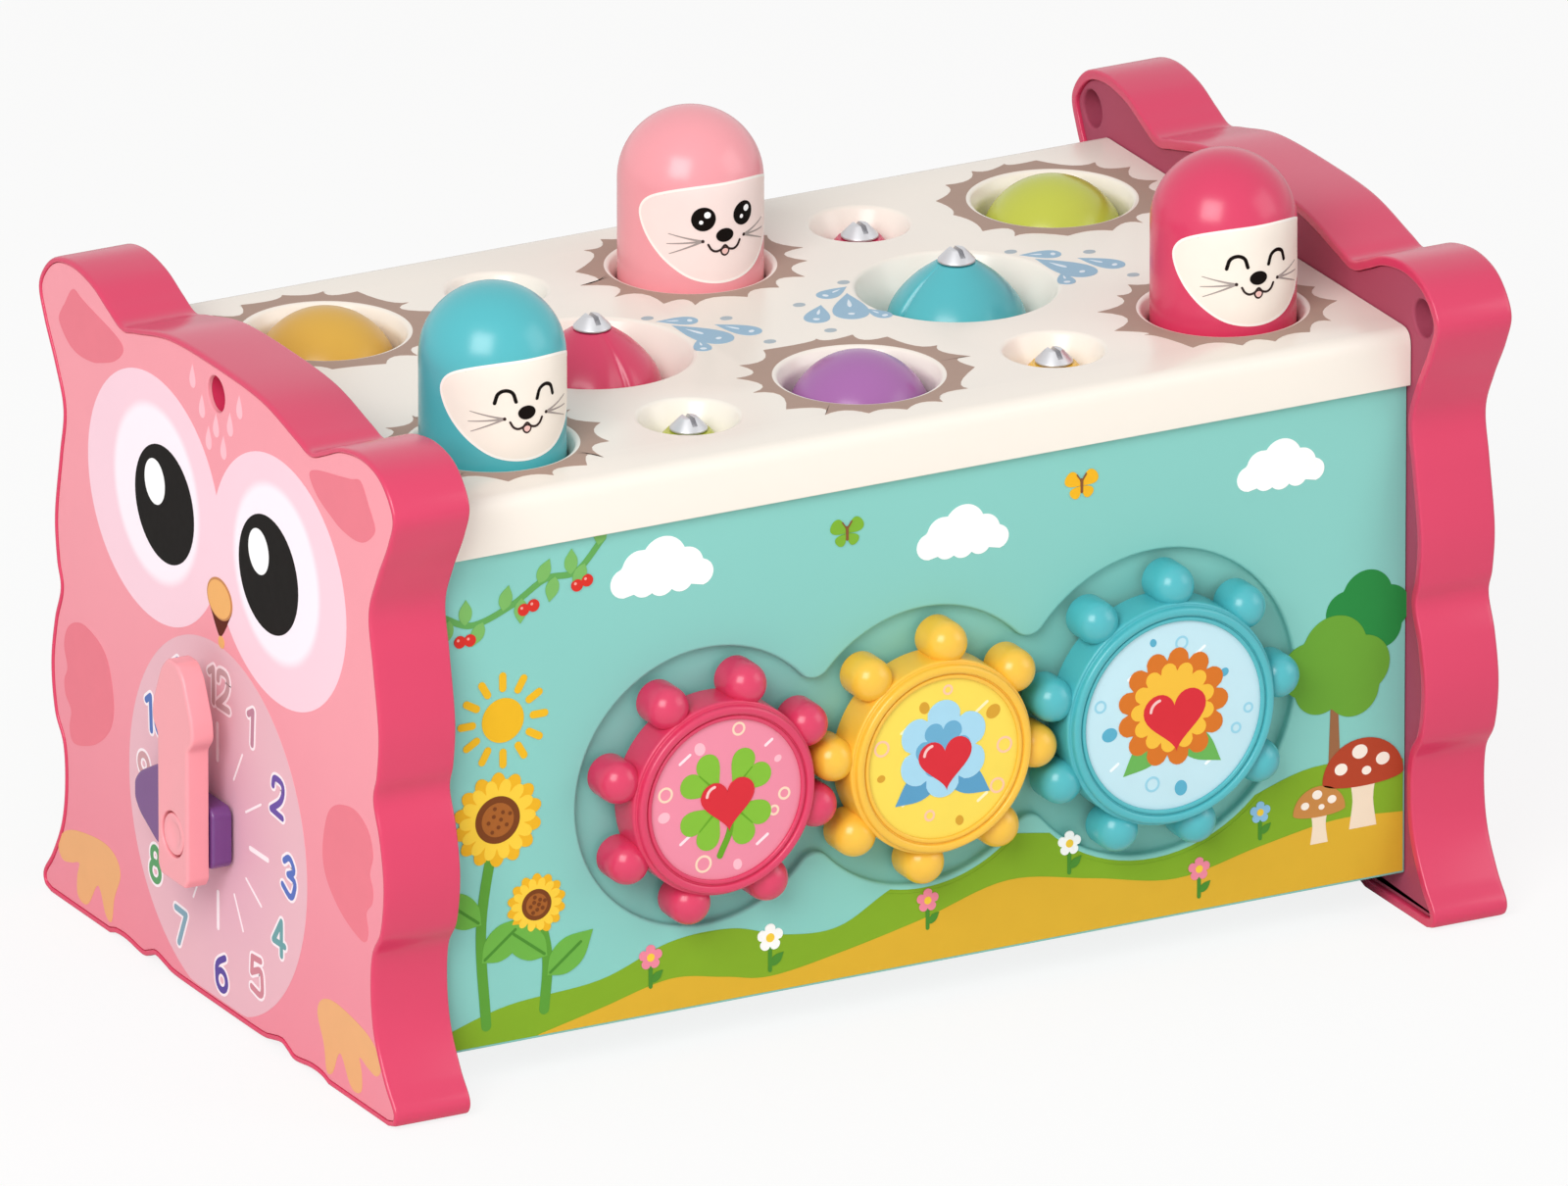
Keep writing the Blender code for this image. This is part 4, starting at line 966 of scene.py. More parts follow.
    def cover(self) -> None:
        """The inner cover with its ear cups, and the screws in them."""
        gap = self.wall + self.fit
        low, high = self.cover_face, self.cover_face + self.cover_thickness
        mesh = skin(self.rings(eased(((low, gap + self.cover_lap, 0), (low, gap, self.lip_round),
                                      (high, gap, 0)))))
        floor = self.cover_face + self.cup_depth
        cups = [self.drill(rod(self.cup_radius + self.cup_wall, low + OVER, floor + self.cup_wall), y, z)
                for y, z in self.ears()]
        mesh = worked(mesh, Joinery.JOIN, gathered(cups))
        wide = self.cup_radius + self.cup_round * 2
        profile = eased(((0, floor, 0), (self.cup_radius, floor, self.cup_round),
                         (self.cup_radius, low, self.cup_round), (wide, low, 0),
                         (wide, low - OVER, 0), (0, low - OVER, 0)))
        mesh = worked(mesh, Joinery.CUT, gathered([self.drill(profile, y, z) for y, z in self.ears()]))
        piece(f"{self.side.hand}_cover", mesh, DULL_CRIMSON, "box", [f"{self.side.hand}_inner_cover"])
        for row, (y, z) in zip(("front", "back"), self.ears()):
            self.screw(row, y, z, floor)

    def screw(self, row: str, y: float, z: float, seat: float) -> None:
        """One cross-slotted screw with a domed head."""
        head = seat - self.fit
        top = head - self.screw_head_height
        radius, shank, end = self.screw_head_radius, self.screw_shank_radius, head + self.screw_length
        profile = eased(((0, top, 0), (radius * 0.7, top, self.screw_round),
                         (radius, top + self.screw_dome, self.screw_round), (radius, head, 0),
                         (shank, head, 0), (shank, end, 0), (0, end, 0)))
        mesh = self.drill(profile, y, z, 40)
        length, width = self.cross_half
        for half in (Vector((length, width)), Vector((width, length))):
            corners = [(-half.x, -half.y), (half.x, -half.y), (half.x, half.y), (-half.x, half.y)]
            mesh = worked(mesh, Joinery.CUT, skin([
                [Vector((self.middle + self.side.value * x, y + a, z + b)) for a, b in corners]
                for x in (top - OVER, top + self.cross_depth)]))
        name = f"cover_screw_{self.side.hand}_{row}"
        piece(f"{name}_head", mesh, STEEL, "box", [name])

    def build(self) -> None:
        """Make all the pieces of this end."""
        self.shell()
        self.plate()
        self.cover()
        OwlFace(self).build()


# The face plate's pink print, with painted shade that makes it darker towards the bottom
FACE_PINK = RisingShadePrint("face_pink", "pink_face_print", paint("F59FAA"), 0.4, drift=0.02, sheen=0.08,
                        low=paint("EC8F9E"), heights=mm(5, 110))


@dataclass
class OwlFace:
    """The owl print on a face plate, in distances across (to the reader's right) and up."""

    end: OwlEnd
    eye_centre: Point = mm(31.2, 115.2)
    eye_reach: Point = mm(33.4, 29.9)
    white_centre: Point = mm(30.0, 116.6)
    white_reach: Point = mm(19.6, 22.6)
    pupil_centre: Point = mm(26.0, 115.2)
    pupil_reach: Point = mm(14.8, 14.1)
    glint_offset: Point = mm(-4.8, 4.1)
    glint_radius: float = 5.5 * MM
    beak_centre: Point = mm(1.6, 101.2)
    beak_reach: Point = mm(6.3, 5.0)
    beak_drop: float = 8.8 * MM
    feathers: Line = mm((-11.7, 151.4), (11.7, 151.4), (-7, 145.6), (7, 145.6),
                        (0, 143.1), (-3.7, 138.9), (3.7, 138.9))
    feather_length: float = 5.8 * MM
    feather_width: float = 3.2 * MM
    ear_outline: Line = mm(
        (72.0, 153.0), (76.2, 148.0), (77.4, 146.6), (79.0, 143.2),
        (74.5, 139.2), (69.2, 137.8), (62.5, 138.2), (58.0, 139.4),
        (50.6, 142.3), (46.5, 146.3), (50.0, 148.6), (61.0, 150.8),
        (67.0, 152.0))
    wing_outline: Line = mm(
        (54.5, 65.6), (58.9, 69.9), (66.7, 71.9), (72.2, 70.9),
        (76.0, 68.0), (77.4, 63.5), (75.8, 58.7), (77.4, 55.2),
        (76.8, 51.7), (74.0, 48.6), (74.9, 44.4), (73.6, 41.4),
        (69.6, 41.4), (61.2, 44.6), (54.5, 50.1), (52.3, 56.6))
    foot_outline: Line = mm(
        (49.5, 15.8), (51.8, 19.9), (58.9, 21.4), (72.2, 19.6),
        (78.8, 16.7), (80.9, 12.6), (78.6, 10.2), (74.4, 10.9),
        (70.4, 12.1), (71.4, 8.6), (71.3, 4.2), (68.4, 2.8),
        (65.4, 4.0), (61.6, 9.3), (59.6, 8.8), (57.0, 3.8),
        (54.0, 3.2), (52.6, 9.4))
    belly_radius: float = 44.6 * MM
    belly_foot: float = 2.5 * MM

    def __post_init__(self) -> None:
        """Set up the inks and the printer."""
        side = self.end.side.value
        face = self.end.middle + side * (self.end.face - self.end.plate_sink)
        self.print = Printer(f"{self.end.side.hand}_face",
                             Flat(Vector((face, 0, 0)), Vector((0, side, 0))), "box")
        base = FACE_PINK
        self.rings_ink = SpotBlendPrintAndShade("ink_eye_rings", base.slot, paint("FAD3DF"), 0.4, drift=0.015,
                                      sheen=0.08, heart=paint("FDF2FA"), spot=self.white_centre,
                                      reach=self.white_reach)
        # The belly is printed pink; its darker heart round the clock's pivot is painted shade of the clock
        # hands
        self.belly_shaded_ink = SpotBlendPrintAndShade("ink_belly_painted_hand_shade", base.slot, paint("E8B8C2"), 0.38, drift=0.02, sheen=0.08,
                                      heart=paint("E2AFC0"), spot=(0.0, self.end.clock_height),
                                      reach=mm(8, 40))
        self.black = base.ink("black", "130F0D")
        self.white = base.ink("white", "FFFFFF")
        self.beak = base.ink("beak_orange", "F0B36C")
        self.beak_line = base.ink("beak_line", "C98A58")
        self.brown = base.ink("beak_brown", "5E2312")
        self.patch = base.ink("patch_pink", "EA7F8D")
        self.feather = base.ink("feather_pink", "FBC0CA")
        self.orange = base.ink("foot_orange", "EAB07A")

    def pair(self, ink: Finish, outline: Line, layer: float = 1) -> None:
        """Print an outline on the reader's right, and its mirror image on the left."""
        self.print.blot(ink, outline, layer)
        self.print.blot(ink, placed(outline, (0, 0), mirror=True), layer)

    def eyes(self) -> None:
        """The eye rings as one outline, with pupils and glints."""
        (x, z), (a, b) = self.eye_centre, self.eye_reach
        rise = b * math.sqrt(1 - (x / a) ** 2)
        start = math.atan2(rise / b, -x / a)
        steps = 72
        right = [Vector((x + a * math.cos(t), z + b * math.sin(t)))
                 for t in (start - 2 * start * i / steps for i in range(steps + 1))]
        left = [Vector((-p.x, p.y)) for p in right[1:-1]]
        self.print.blot(self.rings_ink, right + left[::-1], 1)
        for side in (-1, 1):
            centre = (side * self.pupil_centre[0], self.pupil_centre[1])
            self.print.blot(self.black, oval(centre, *self.pupil_reach), 2)
            glint = (centre[0] + self.glint_offset[0], centre[1] + self.glint_offset[1])
            self.print.blot(self.white, oval(glint, self.glint_radius * 0.92, self.glint_radius), 3)

    def beak_and_feathers(self) -> None:
        """The beak below the eyes and the rows of feathers on the forehead."""
        (x, z), (a, b) = self.beak_centre, self.beak_reach
        tip = [(x - a * 0.93, z - b * 0.15), (x - a * 0.55, z - b * 1.05), (x - a * 0.12, z - self.beak_drop),
               (x + a * 0.12, z - self.beak_drop), (x + a * 0.6, z - b * 1.0), (x + a * 0.96, z - b * 0.1),
               (x, z)]
        self.print.blot(self.brown, flowing(tip, 6, closed=True), 2)
        self.print.blot(self.beak_line, oval((x, z), a, b), 3)
        self.print.blot(self.beak, oval((x - a * 0.02, z - b * 0.02), a * 0.9, b * 0.9), 4)
        self.print.blot(self.beak, oval((x + 0.6 * MM, z - self.beak_drop - 1.6 * MM), 1.5 * MM, 1.5 * MM), 2)
        for place in self.feathers:
            tip = (place[0], place[1] + self.feather_length / 2)
            self.print.blot(self.feather, drop(tip, self.feather_length, self.feather_width, -math.pi / 2), 1)

    def build(self) -> None:
        """Print the whole face."""
        self.eyes()
        self.beak_and_feathers()
        self.pair(self.patch, flowing(self.ear_outline, 5, closed=True))
        self.pair(self.patch, flowing(self.wing_outline, 5, closed=True))
        self.pair(self.orange, flowing(self.foot_outline, 5, closed=True))
        # The belly print, with painted shade of the clock hands at its middle
        belly = oval((0, self.end.clock_height), self.belly_radius, self.belly_radius, steps=96)
        self.print.blot(self.belly_shaded_ink, [Vector((p.x, max(p.y, self.belly_foot))) for p in belly], 1)
        self.print.finish()


# ---- The deck ----


@dataclass(frozen=True)
class Mouth:
    """A round opening in the deck: a flare from the rim down to a straight bore."""

    rim: float
    flare: float
    bore: float
    depth: float
    wall: float
    lip: float = 0.9 * MM
    knee: float = 1.6 * MM
    foot: float = 0.8 * MM
    clearance: float = 0.03 * MM

    def tool(self, top: float) -> Line:
        """The profile of the cutter, with a rounded lip."""
        low, wide = top - self.depth, self.rim + 3 * self.lip
        return eased(((0, low, 0), (self.bore, low, self.foot), (self.bore, top - self.flare, self.knee),
                      (self.rim, top, self.lip), (wide, top + self.clearance, 0),
                      (wide, top + OVER, 0), (0, top + OVER, 0)))

    def outside(self, top: float, underside: float) -> Line:
        """The profile of the wall round it, from the deck's underside down."""
        low = top - self.depth - self.wall
        wide = self.rim - (self.rim - self.bore) * (top - underside) / self.flare + self.wall
        return ((0, low), (self.bore + self.wall, low), (self.bore + self.wall, top - self.flare),
                (wide, underside), (0, underside))


@dataclass
class Deck:
    """The cream deck in one moulding, with its printed rings and splashes."""

    plate: float = 3.0 * MM
    fascia: float = 13.7 * MM
    edge_round: float = 3.0 * MM
    low_round: float = 0.5 * MM
    skirt_wall: float = 1.7 * MM
    mole_mouth: Mouth = Mouth(19.2 * MM, 3.0 * MM, 17.5 * MM, 16.0 * MM, 2.0 * MM, knee=1.1 * MM)
    collar_depth: float = 14.0 * MM
    fish_mouth: Mouth = Mouth(23.7 * MM, 12.0 * MM, 17.2 * MM, 36.0 * MM, 1.8 * MM, knee=4.0 * MM)
    worm_mouth: Mouth = Mouth(12.0 * MM, 8.0 * MM, 7.1 * MM, 24.0 * MM, 1.8 * MM, knee=2.4 * MM)
    ring_inside: float = 20.1 * MM
    ring_valley: Point = mm(22.4, 24.6)
    ring_tip: Point = mm(25.4, 29.6)
    ring_spikes: int = 16
    # Splashes to the right of a fish: where each drop's tip and head lie, and the head's width
    drops: tuple[tuple[Point, Point, float], ...] = mm(
        ((22.6, 11.4), (31.6, 7.6), 5.6),
        ((24.6, 7.6), (31.6, -8.4), 9.2),
        ((33.6, 3.4), (40.4, -6.6), 6.6),
        ((25.6, -3.6), (23.4, -11.2), 4.6))
    specks: Line = mm((21.9, 14.3), (38.0, 5.8), (39.6, -12.6))

    def __post_init__(self) -> None:
        """Take the places of the moles, fish and worms from the CAD nodes."""
        self.box = Bounds.of("top_deck")
        self.top = self.box.high.z
        self.moles = [Bounds.of(f"mole_{colour}").centre for colour in Mole.COLOURS]
        self.fish = [Bounds.of(f"fish_{colour}").centre for colour in ("crimson", "teal")]
        self.worms = [Bounds.of(f"worm_{colour}").centre for colour in ("green", "teal", "yellow", "red")]

    def slab(self) -> Mesh:
        """The plate with rounded edges and a skirt on both sides."""
        under, bottom = self.top - self.plate, self.top - self.fascia
        half = self.box.high.y
        skirt = half - self.skirt_wall
        right = eased(((skirt, under, 0), (skirt, bottom, self.low_round), (half, bottom, self.low_round),
                       (half, self.top, self.edge_round * 1.3), (half - 3 * self.edge_round, self.top, 0)))
        section = [*right, *[Vector((-p.x, p.y)) for p in reversed(right)]]
        ends = (self.box.low.x, self.box.high.x)
        return skin([[Vector((x, p.x, p.y)) for p in section] for x in ends])

    def mouths(self) -> list[tuple[Vector, Mouth]]:
        """Every opening's place and form."""
        return ([(place, self.mole_mouth) for place in self.moles]
                + [(place, self.fish_mouth) for place in self.fish]
                + [(place, self.worm_mouth) for place in self.worms])

    def moulding(self) -> None:
        """The deck itself."""
        underside = self.top - self.plate + OVERLAP
        walls, hollows = [], []
        for place, mouth in self.mouths():
            at = (place.x, place.y, 0)
            if mouth is self.mole_mouth:
                outside = rod(mouth.bore + mouth.wall, self.top - self.collar_depth, underside)
            else:
                outside = mouth.outside(self.top, underside)
            walls.append(aimed(turned(outside, 64), (0, 0, 1), at))
            hollows.append(aimed(turned(mouth.tool(self.top), 80), (0, 0, 1), at))
        mesh = worked(self.slab(), Joinery.JOIN, gathered(walls))
        mesh = worked(mesh, Joinery.CUT, gathered(hollows))
        piece("deck", mesh, CREAM, "box", ["top_deck"])

    def burst(self, seed: int) -> list[Vector]:
        """The outline of a jagged ring: sharp spikes with hollow curves between them."""
        chance = random.Random(seed)
        tips, valleys = [], []
        for i in range(self.ring_spikes):
            turn = (i + chance.uniform(-0.24, 0.24)) * FULL_TURN / self.ring_spikes
            low, high = self.ring_tip
            wide = low + (high - low) * chance.random() * abs(math.cos(turn)) ** 0.7
            tips.append(heading(turn) * wide)
            turn += FULL_TURN / self.ring_spikes * chance.uniform(0.35, 0.65)
            valleys.append(heading(turn) * chance.uniform(*self.ring_valley))
        line = []
        for tip, valley, beyond in zip(tips, valleys, tips[1:] + tips[:1]):
            pull = valley * 2 - (tip + beyond) / 2
            line += [tip * (1 - t) ** 2 + pull * (2 * t * (1 - t)) + beyond * t ** 2
                     for t in (k / 6 for k in range(6))]
        return line

    def prints(self) -> None:
        """The rings of broken ground and the splashes of water."""
        ink = CREAM.ink("ground_brown", "B3988A", 0.42)
        water, wet, glint = (CREAM.ink("water_blue", "9FC0D6"), CREAM.ink("water_grey", "B3BFC6"),
                             CREAM.ink("water_glint", "E8F1F8"))
        printer = Printer("deck", Flat(Vector((0, 0, self.top)), Vector((1, 0, 0)), Vector((0, 1, 0))), "box")
        for seed, place in enumerate(self.moles):
            outline = self.burst(seed + 11)
            start = math.atan2(outline[0].y, outline[0].x)
            inside = sweep((0, 0), self.ring_inside, start, start + FULL_TURN, len(outline))[:-1]
            at = (place.x, place.y)
            printer.strip(ink, placed(outline, at), placed(inside, at), closed=True)
        for place in self.fish:
            for mirror in (False, True):
                for tip, head, width in self.drops:
                    tip, head = (Vector((-p[0] if mirror else p[0], p[1])) for p in (tip, head))
                    at, run = tip + Vector((place.x, place.y)), head - tip
                    turn = math.atan2(run.y, run.x)
                    printer.blot(water, drop(at, run.length, width, turn))
                    printer.blot(glint, oval(at + run * 0.8, 0.6 * MM, 0.8 * MM, turn), 2)
                    printer.blot(glint, drop(at + run * 0.24, run.length * 0.3, width * 0.12, turn), 2)
                for x, y in self.specks:
                    at = (place.x + (-x if mirror else x), place.y + y)
                    printer.blot(wet, oval(at, 1.5 * MM, 1.25 * MM))
        printer.finish()

    def build(self) -> None:
        """Make the deck and its prints."""
        self.moulding()
        self.prints()


# ---- The panels ----


def clump(lobes: Sequence[tuple[float, float, float]], steps: int = 96) -> list[Vector]:
    """The outline round overlapping circles, seen from their middle.

    Args:
        lobes: Each circle's place across and up, and its radius.
        steps: The number of points.

    Returns:
        The outline, anticlockwise.
    """
    middle = sum((Vector(lobe[:2]) for lobe in lobes), Vector((0, 0))) / len(lobes)
    line = []
    for i in range(steps):
        way = heading(FULL_TURN * i / steps)
        reach = 0.0
        for across, up, radius in lobes:
            offset = Vector((across, up)) - middle
            along = offset.dot(way)
            spread = radius ** 2 - (offset.length_squared - along ** 2)
            if spread > 0:
                reach = max(reach, along + math.sqrt(spread))
        line.append(middle + way * reach)
    return line


def petals(count: int, depth: float = 0.3, steps: int = 12) -> list[Vector]:
    """The outline of a flower of radius 1 with round petals."""
    line = []
    for i in range(count * steps):
        turn = FULL_TURN * i / (count * steps)
        reach = 1 - depth + depth * abs(math.cos(count * turn / 2)) ** 0.6
        line.append(Vector((reach * math.cos(turn), reach * math.sin(turn))))
    return line


def heart(steps: int = 48) -> list[Vector]:
    """The outline of a heart two units wide, round its middle."""
    line = []
    for i in range(steps):
        t = FULL_TURN * i / steps
        up = 13 * math.cos(t) - 5 * math.cos(2 * t) - 2 * math.cos(3 * t) - math.cos(4 * t) + 2.5
        line.append(Vector((math.sin(t) ** 3, up / 16)))
    return line[::-1]


def leaf(at: Point, length: float, width: float, turn: float) -> list[Vector]:
    """The outline of a leaf from its stalk."""
    half = flowing([(0, 0), (length * 0.25, width * 0.42), (length * 0.6, width * 0.46), (length, 0)], 5)
    return placed([Vector((p.x, -p.y)) for p in half] + half[-2:0:-1], at, 1, turn)


@dataclass
class GearSpot:
    """One gear's place on the front: its centre and pitch radius, its knobs and turn."""

    colour: str
    centre: Vector
    pitch: float
    knobs: int
    turn: float


@dataclass
class GearTrain:
    """The three gears in mesh and the recess round them."""

    module: float = 7.05 * MM
    knobs: tuple[int, int, int] = (8, 8, 9)
    middle_turn: float = math.radians(38.5)
    knob_radius: float = 5.2 * MM
    knob_sink: float = 1.7 * MM
    recess_margin: float = 2.0 * MM
    recess_fillet: float = 4.5 * MM

    def spots(self) -> list[GearSpot]:
        """The gears from left to right, each turned so that its knobs mesh."""
        radii = [self.module * count / 2 for count in self.knobs]
        pitches = [FULL_TURN / count for count in self.knobs]
        lead = self.middle_turn - pitches[1]
        turns = (pitches[0] / 2 - lead * radii[1] / radii[0], self.middle_turn,
                 math.pi - lead * radii[1] / radii[2] - pitches[2] / 2)
        rows = zip(("crimson", "yellow", "teal"), radii, self.knobs, turns)
        return [GearSpot(colour, Bounds.of(f"gear_disc_{colour}").centre, radius, count, turn)
                for colour, radius, count, turn in rows]

    def recess(self, margin: float = 0.0) -> list[Vector]:
        """The recess's outline in X and Z, moved outwards by a margin."""
        spots = self.spots()
        height = spots[0].centre.z
        circles = [(s.centre.x, s.pitch - self.knob_sink + self.knob_radius + self.recess_margin + margin)
                   for s in spots]
        fillet = self.recess_fillet - margin
        upper, start = [], math.pi
        for (x, radius), (next_x, next_radius) in zip(circles, circles[1:]):
            span, reach, next_reach = next_x - x, radius + fillet, next_radius + fillet
            across = (span ** 2 + reach ** 2 - next_reach ** 2) / (2 * span)
            rise = math.sqrt(reach ** 2 - across ** 2)
            end = math.atan2(rise, across)
            upper += sweep((x, height), radius, start, end, 30)
            start = math.atan2(rise, across - span)
            upper += sweep((x + across, height + rise), fillet, end - math.pi, start - math.pi, 10)[1:-1]
        upper += sweep((circles[-1][0], height), circles[-1][1], start, 0, 30)
        return (upper + [Vector((p.x, 2 * height - p.y)) for p in reversed(upper[1:-1])])[::-1]


def sweep(centre: Point, radius: float, start: float, end: float, steps: int) -> list[Vector]:
    """Points on an arc from one angle to another."""
    return [Vector((centre[0] + radius * math.cos(a), centre[1] + radius * math.sin(a)))
            for a in (start + (end - start) * i / steps for i in range(steps + 1))]


@dataclass
class Panels:
    """The front panel with the gears' recess, and the plain back panel."""

    train: GearTrain
    depth: float = 2.5 * MM
    corner: float = 0.6 * MM
    recess_depth: float = 2.5 * MM
    recess_lip: float = 0.9 * MM
    boss_height: float = 1.5 * MM
    boss_radius: float = 7.0 * MM
    boss_length: float = 6.0 * MM
    axle_hole: float = 3.8 * MM
    clearance: float = 0.02 * MM
    print_margin: float = 0.4 * MM

    def __post_init__(self) -> None:
        """Take the box from the CAD panels."""
        self.box = Bounds.of("back_panel")
        self.face = self.box.high.y

    def slab(self, side: int) -> Mesh:
        """A panel with its lower edges rounded, on the side of Y given by -1 or +1."""
        inner, low, high = self.face - self.depth, self.box.low.z, self.box.high.z
        section = eased(((inner, high, 0), (inner, low, self.corner), (self.face, low, self.corner),
                         (self.face, high, 0)))
        return skin([[Vector((x, side * p.x, p.y)) for p in section]
                     for x in (self.box.low.x, self.box.high.x)])

    def recess_tool(self, wider: float = 0.0) -> Mesh:
        """The cutter of the recess, with a rounded lip and a fillet round its floor."""
        floor, lip = self.face - self.recess_depth, self.recess_lip
        path = eased(((2 * lip, self.face + OVER, 0), (2 * lip, self.face + self.clearance, 0),
                      (0, self.face, lip), (0, floor, lip), (-2 * lip, floor, 0)))
        return skin([[Vector((p.x, -y, p.y)) for p in self.train.recess(margin + wider)]
                     for margin, y in path])

    def front(self) -> None:
        """The front panel."""
        floor = self.face - self.recess_depth
        back = floor - self.depth
        tray = skin([[Vector((p.x, -y, p.y)) for p in self.train.recess(self.depth)]
                     for y in (self.face - self.depth + OVERLAP, back)])
        mesh = worked(self.slab(-1), Joinery.JOIN, tray)
        mesh = worked(mesh, Joinery.CUT, self.recess_tool())
        spots = [(spot.centre.x, 0, spot.centre.z) for spot in self.train.spots()]
        low, high = back - self.boss_length, floor + self.boss_height
        bosses = [aimed(turned(rod(self.boss_radius, low, high), 48), (0, -1, 0), spot) for spot in spots]
        mesh = worked(mesh, Joinery.JOIN, gathered(bosses))
        holes = [aimed(turned(rod(self.axle_hole, low + OVER, high + OVER), 32), (0, -1, 0), spot)
                 for spot in spots]
        mesh = worked(mesh, Joinery.CUT, gathered(holes))
        piece("front", mesh, TEAL_PANEL, "box", ["front_panel"])

    def build(self) -> None:
        """Make both panels and their prints."""
        self.front()
        piece("back", self.slab(1), TEAL_PANEL, "box", ["back_panel"])
        middle = self.box.centre.x
        front = Flat(Vector((middle, -self.face, 0)), Vector((1, 0, 0)))
        back = Flat(Vector((middle, self.face, 0)), Vector((-1, 0, 0)))
        Landscape(front, "front", lambda: self.recess_tool(self.print_margin)).build()
        Landscape(back, "back", None).build()


@dataclass
class Landscape(Picture):
    """A garden print on a long panel, in distances from its middle and above the ground."""

    face: Flat
    name: str
    recess: Callable[[], Mesh] | None
    half_length: float = 125.6 * MM
    low: float = 10.3 * MM
    green_hill: Line = mm(
        (-126, 14), (-108, 19), (-84, 21), (-66, 27), (-50, 27.5),
        (-36, 23.5), (-22, 23), (-8, 30), (12, 38), (34, 36),
        (58, 31), (80, 34), (102, 40), (126, 38))
    ochre_hill: Line = mm(
        (-100, 10.5), (-84, 14), (-66, 18), (-52, 16), (-40, 14),
        (-22, 16.5), (0, 21), (22, 26.5), (44, 23), (66, 19),
        (88, 23), (108, 26), (126, 25))
    clouds: tuple[tuple[float, float, float], ...] = (
        (-68 * MM, 118 * MM, 1.0), (10 * MM, 113 * MM, 0.9), (93 * MM, 115 * MM, 0.86))
    cloud_lobes: tuple[tuple[float, float, float], ...] = mm(
        (-9.6, -1.2, 3.6), (-5.6, 1.6, 4.6), (0.6, 2.8, 5.8),
        (6.4, 0.6, 4.4), (10.2, -1.8, 3.2), (0.0, -2.4, 3.4),
        (-4.6, -2.0, 3.4), (5.0, -2.4, 3.2))
    butterflies: tuple[tuple[float, float, str], ...] = (
        (-20 * MM, 119 * MM, "7FB23A"), (41 * MM, 120 * MM, "F2B72A"))
    # Small flowers: place along and height in millimetres, size and ink
    flowers: tuple[tuple[float, float, float, str], ...] = (
        (-71, 17, 0.9, "F08AA0"), (-40, 15.5, 1.0, "FDFDFB"), (1, 18.5, 0.85, "F08AA0"),
        (38, 25.5, 0.9, "FDFDFB"), (72, 13.5, 0.85, "F08AA0"), (88, 25, 0.8, "8FC1E3"))

    def __post_init__(self) -> None:
        """Set up the printer."""
        self.print = Printer(f"{self.name}_garden", self.face, "box", trim=self.recess)

    def ink(self, code: str) -> Finish:
        """An ink of a screen code on the panel."""
        return TEAL_PANEL.ink(f"garden_{code.lower()}", code)

    def hills(self) -> None:
        """The green hill and the ochre path in front of it."""
        for line, code, layer in ((self.green_hill, "84AC2E", 2), (self.ochre_hill, "DDB037", 3)):
            top = [Vector((max(-self.half_length, min(self.half_length, p.x)), p.y))
                   for p in flowing(line, 8)]
            ends = [Vector((top[-1].x, self.low)), Vector((top[0].x, self.low))]
            self.fill(code, (top + ends)[::-1], layer, trimmed=True)

    def tree(self, x: float, ground: float, size: float, code: str, layer: int) -> None:
        """A round tree on a forked trunk.

        Args:
            x: Its place along the panel.
            ground: The height of its foot.
            size: Its scale.
            code: The ink of its crown.
            layer: The layer of its trunk; the crown lies one higher.
        """
        lobes = mm((-9, 30, 8.5), (0, 35, 10.5), (9, 29, 9), (-5, 24, 8), (6, 22, 8.5))
        trunk = mm((-1.9, 0), (1.9, 0), (1.2, 15), (1.2, 26), (-1.0, 26))
        at = (x, ground)
        self.fill("9C6B4A", placed(trunk, at, size), layer)
        for side in (-1, 1):
            self.draw("9C6B4A", placed([mm(0, 17), mm(side * 6.5, 25)], at, size), 0.7 * MM * size, layer)
        self.fill(code, placed(clump(lobes), at, size), layer + 1)

    def sunflower(self, x: float, ground: float, height: float, radius: float, lean: float) -> None:
        """A tall sunflower with a seed head and two leaves on its stalk.

        Args:
            x: The place of its foot along the panel.
            ground: The height of its foot.
            height: The height of its head over the foot.
            radius: The radius of its petals.
            lean: How far its head stands aside from the foot.
        """
        head = (x + lean, ground + height)
        stalk = flowing([(x, ground), (x - lean * 0.4, ground + height * 0.5), head], 8)
        self.draw("5E9E3C", stalk, 1.3 * MM, 3)
        for share, side in ((0.3, 1), (0.48, -1)):
            at = stalk[int(len(stalk) * share)]
            turn = math.radians(38) if side > 0 else math.pi - math.radians(38)
            self.fill("6FB24A", leaf(at, 15 * MM, 8 * MM, turn), 4)
            vein = placed(mm((1, 0), (11, 0)), at, 1, turn)
            self.draw("4F8E36", vein, 0.35 * MM, 5)
        self.fill("EDB52C", placed(petals(14, 0.26, 8), head, radius, 0.2), 4)
        self.fill("F7CF45", placed(petals(14, 0.3, 8), head, radius * 0.86, 0.42), 5)
        self.fill("7A4424", oval(head, radius * 0.5, radius * 0.5), 6)
        self.fill("A5622F", oval(head, radius * 0.36, radius * 0.36), 7)
        for i in range(9):
            turn, reach = i * 2.4, radius * 0.1 * math.sqrt(i + 0.5)
            dot = (head[0] + reach * math.cos(turn), head[1] + reach * math.sin(turn))
            self.fill("7A4424", oval(dot, 0.5 * MM, 0.5 * MM, steps=12), 8)

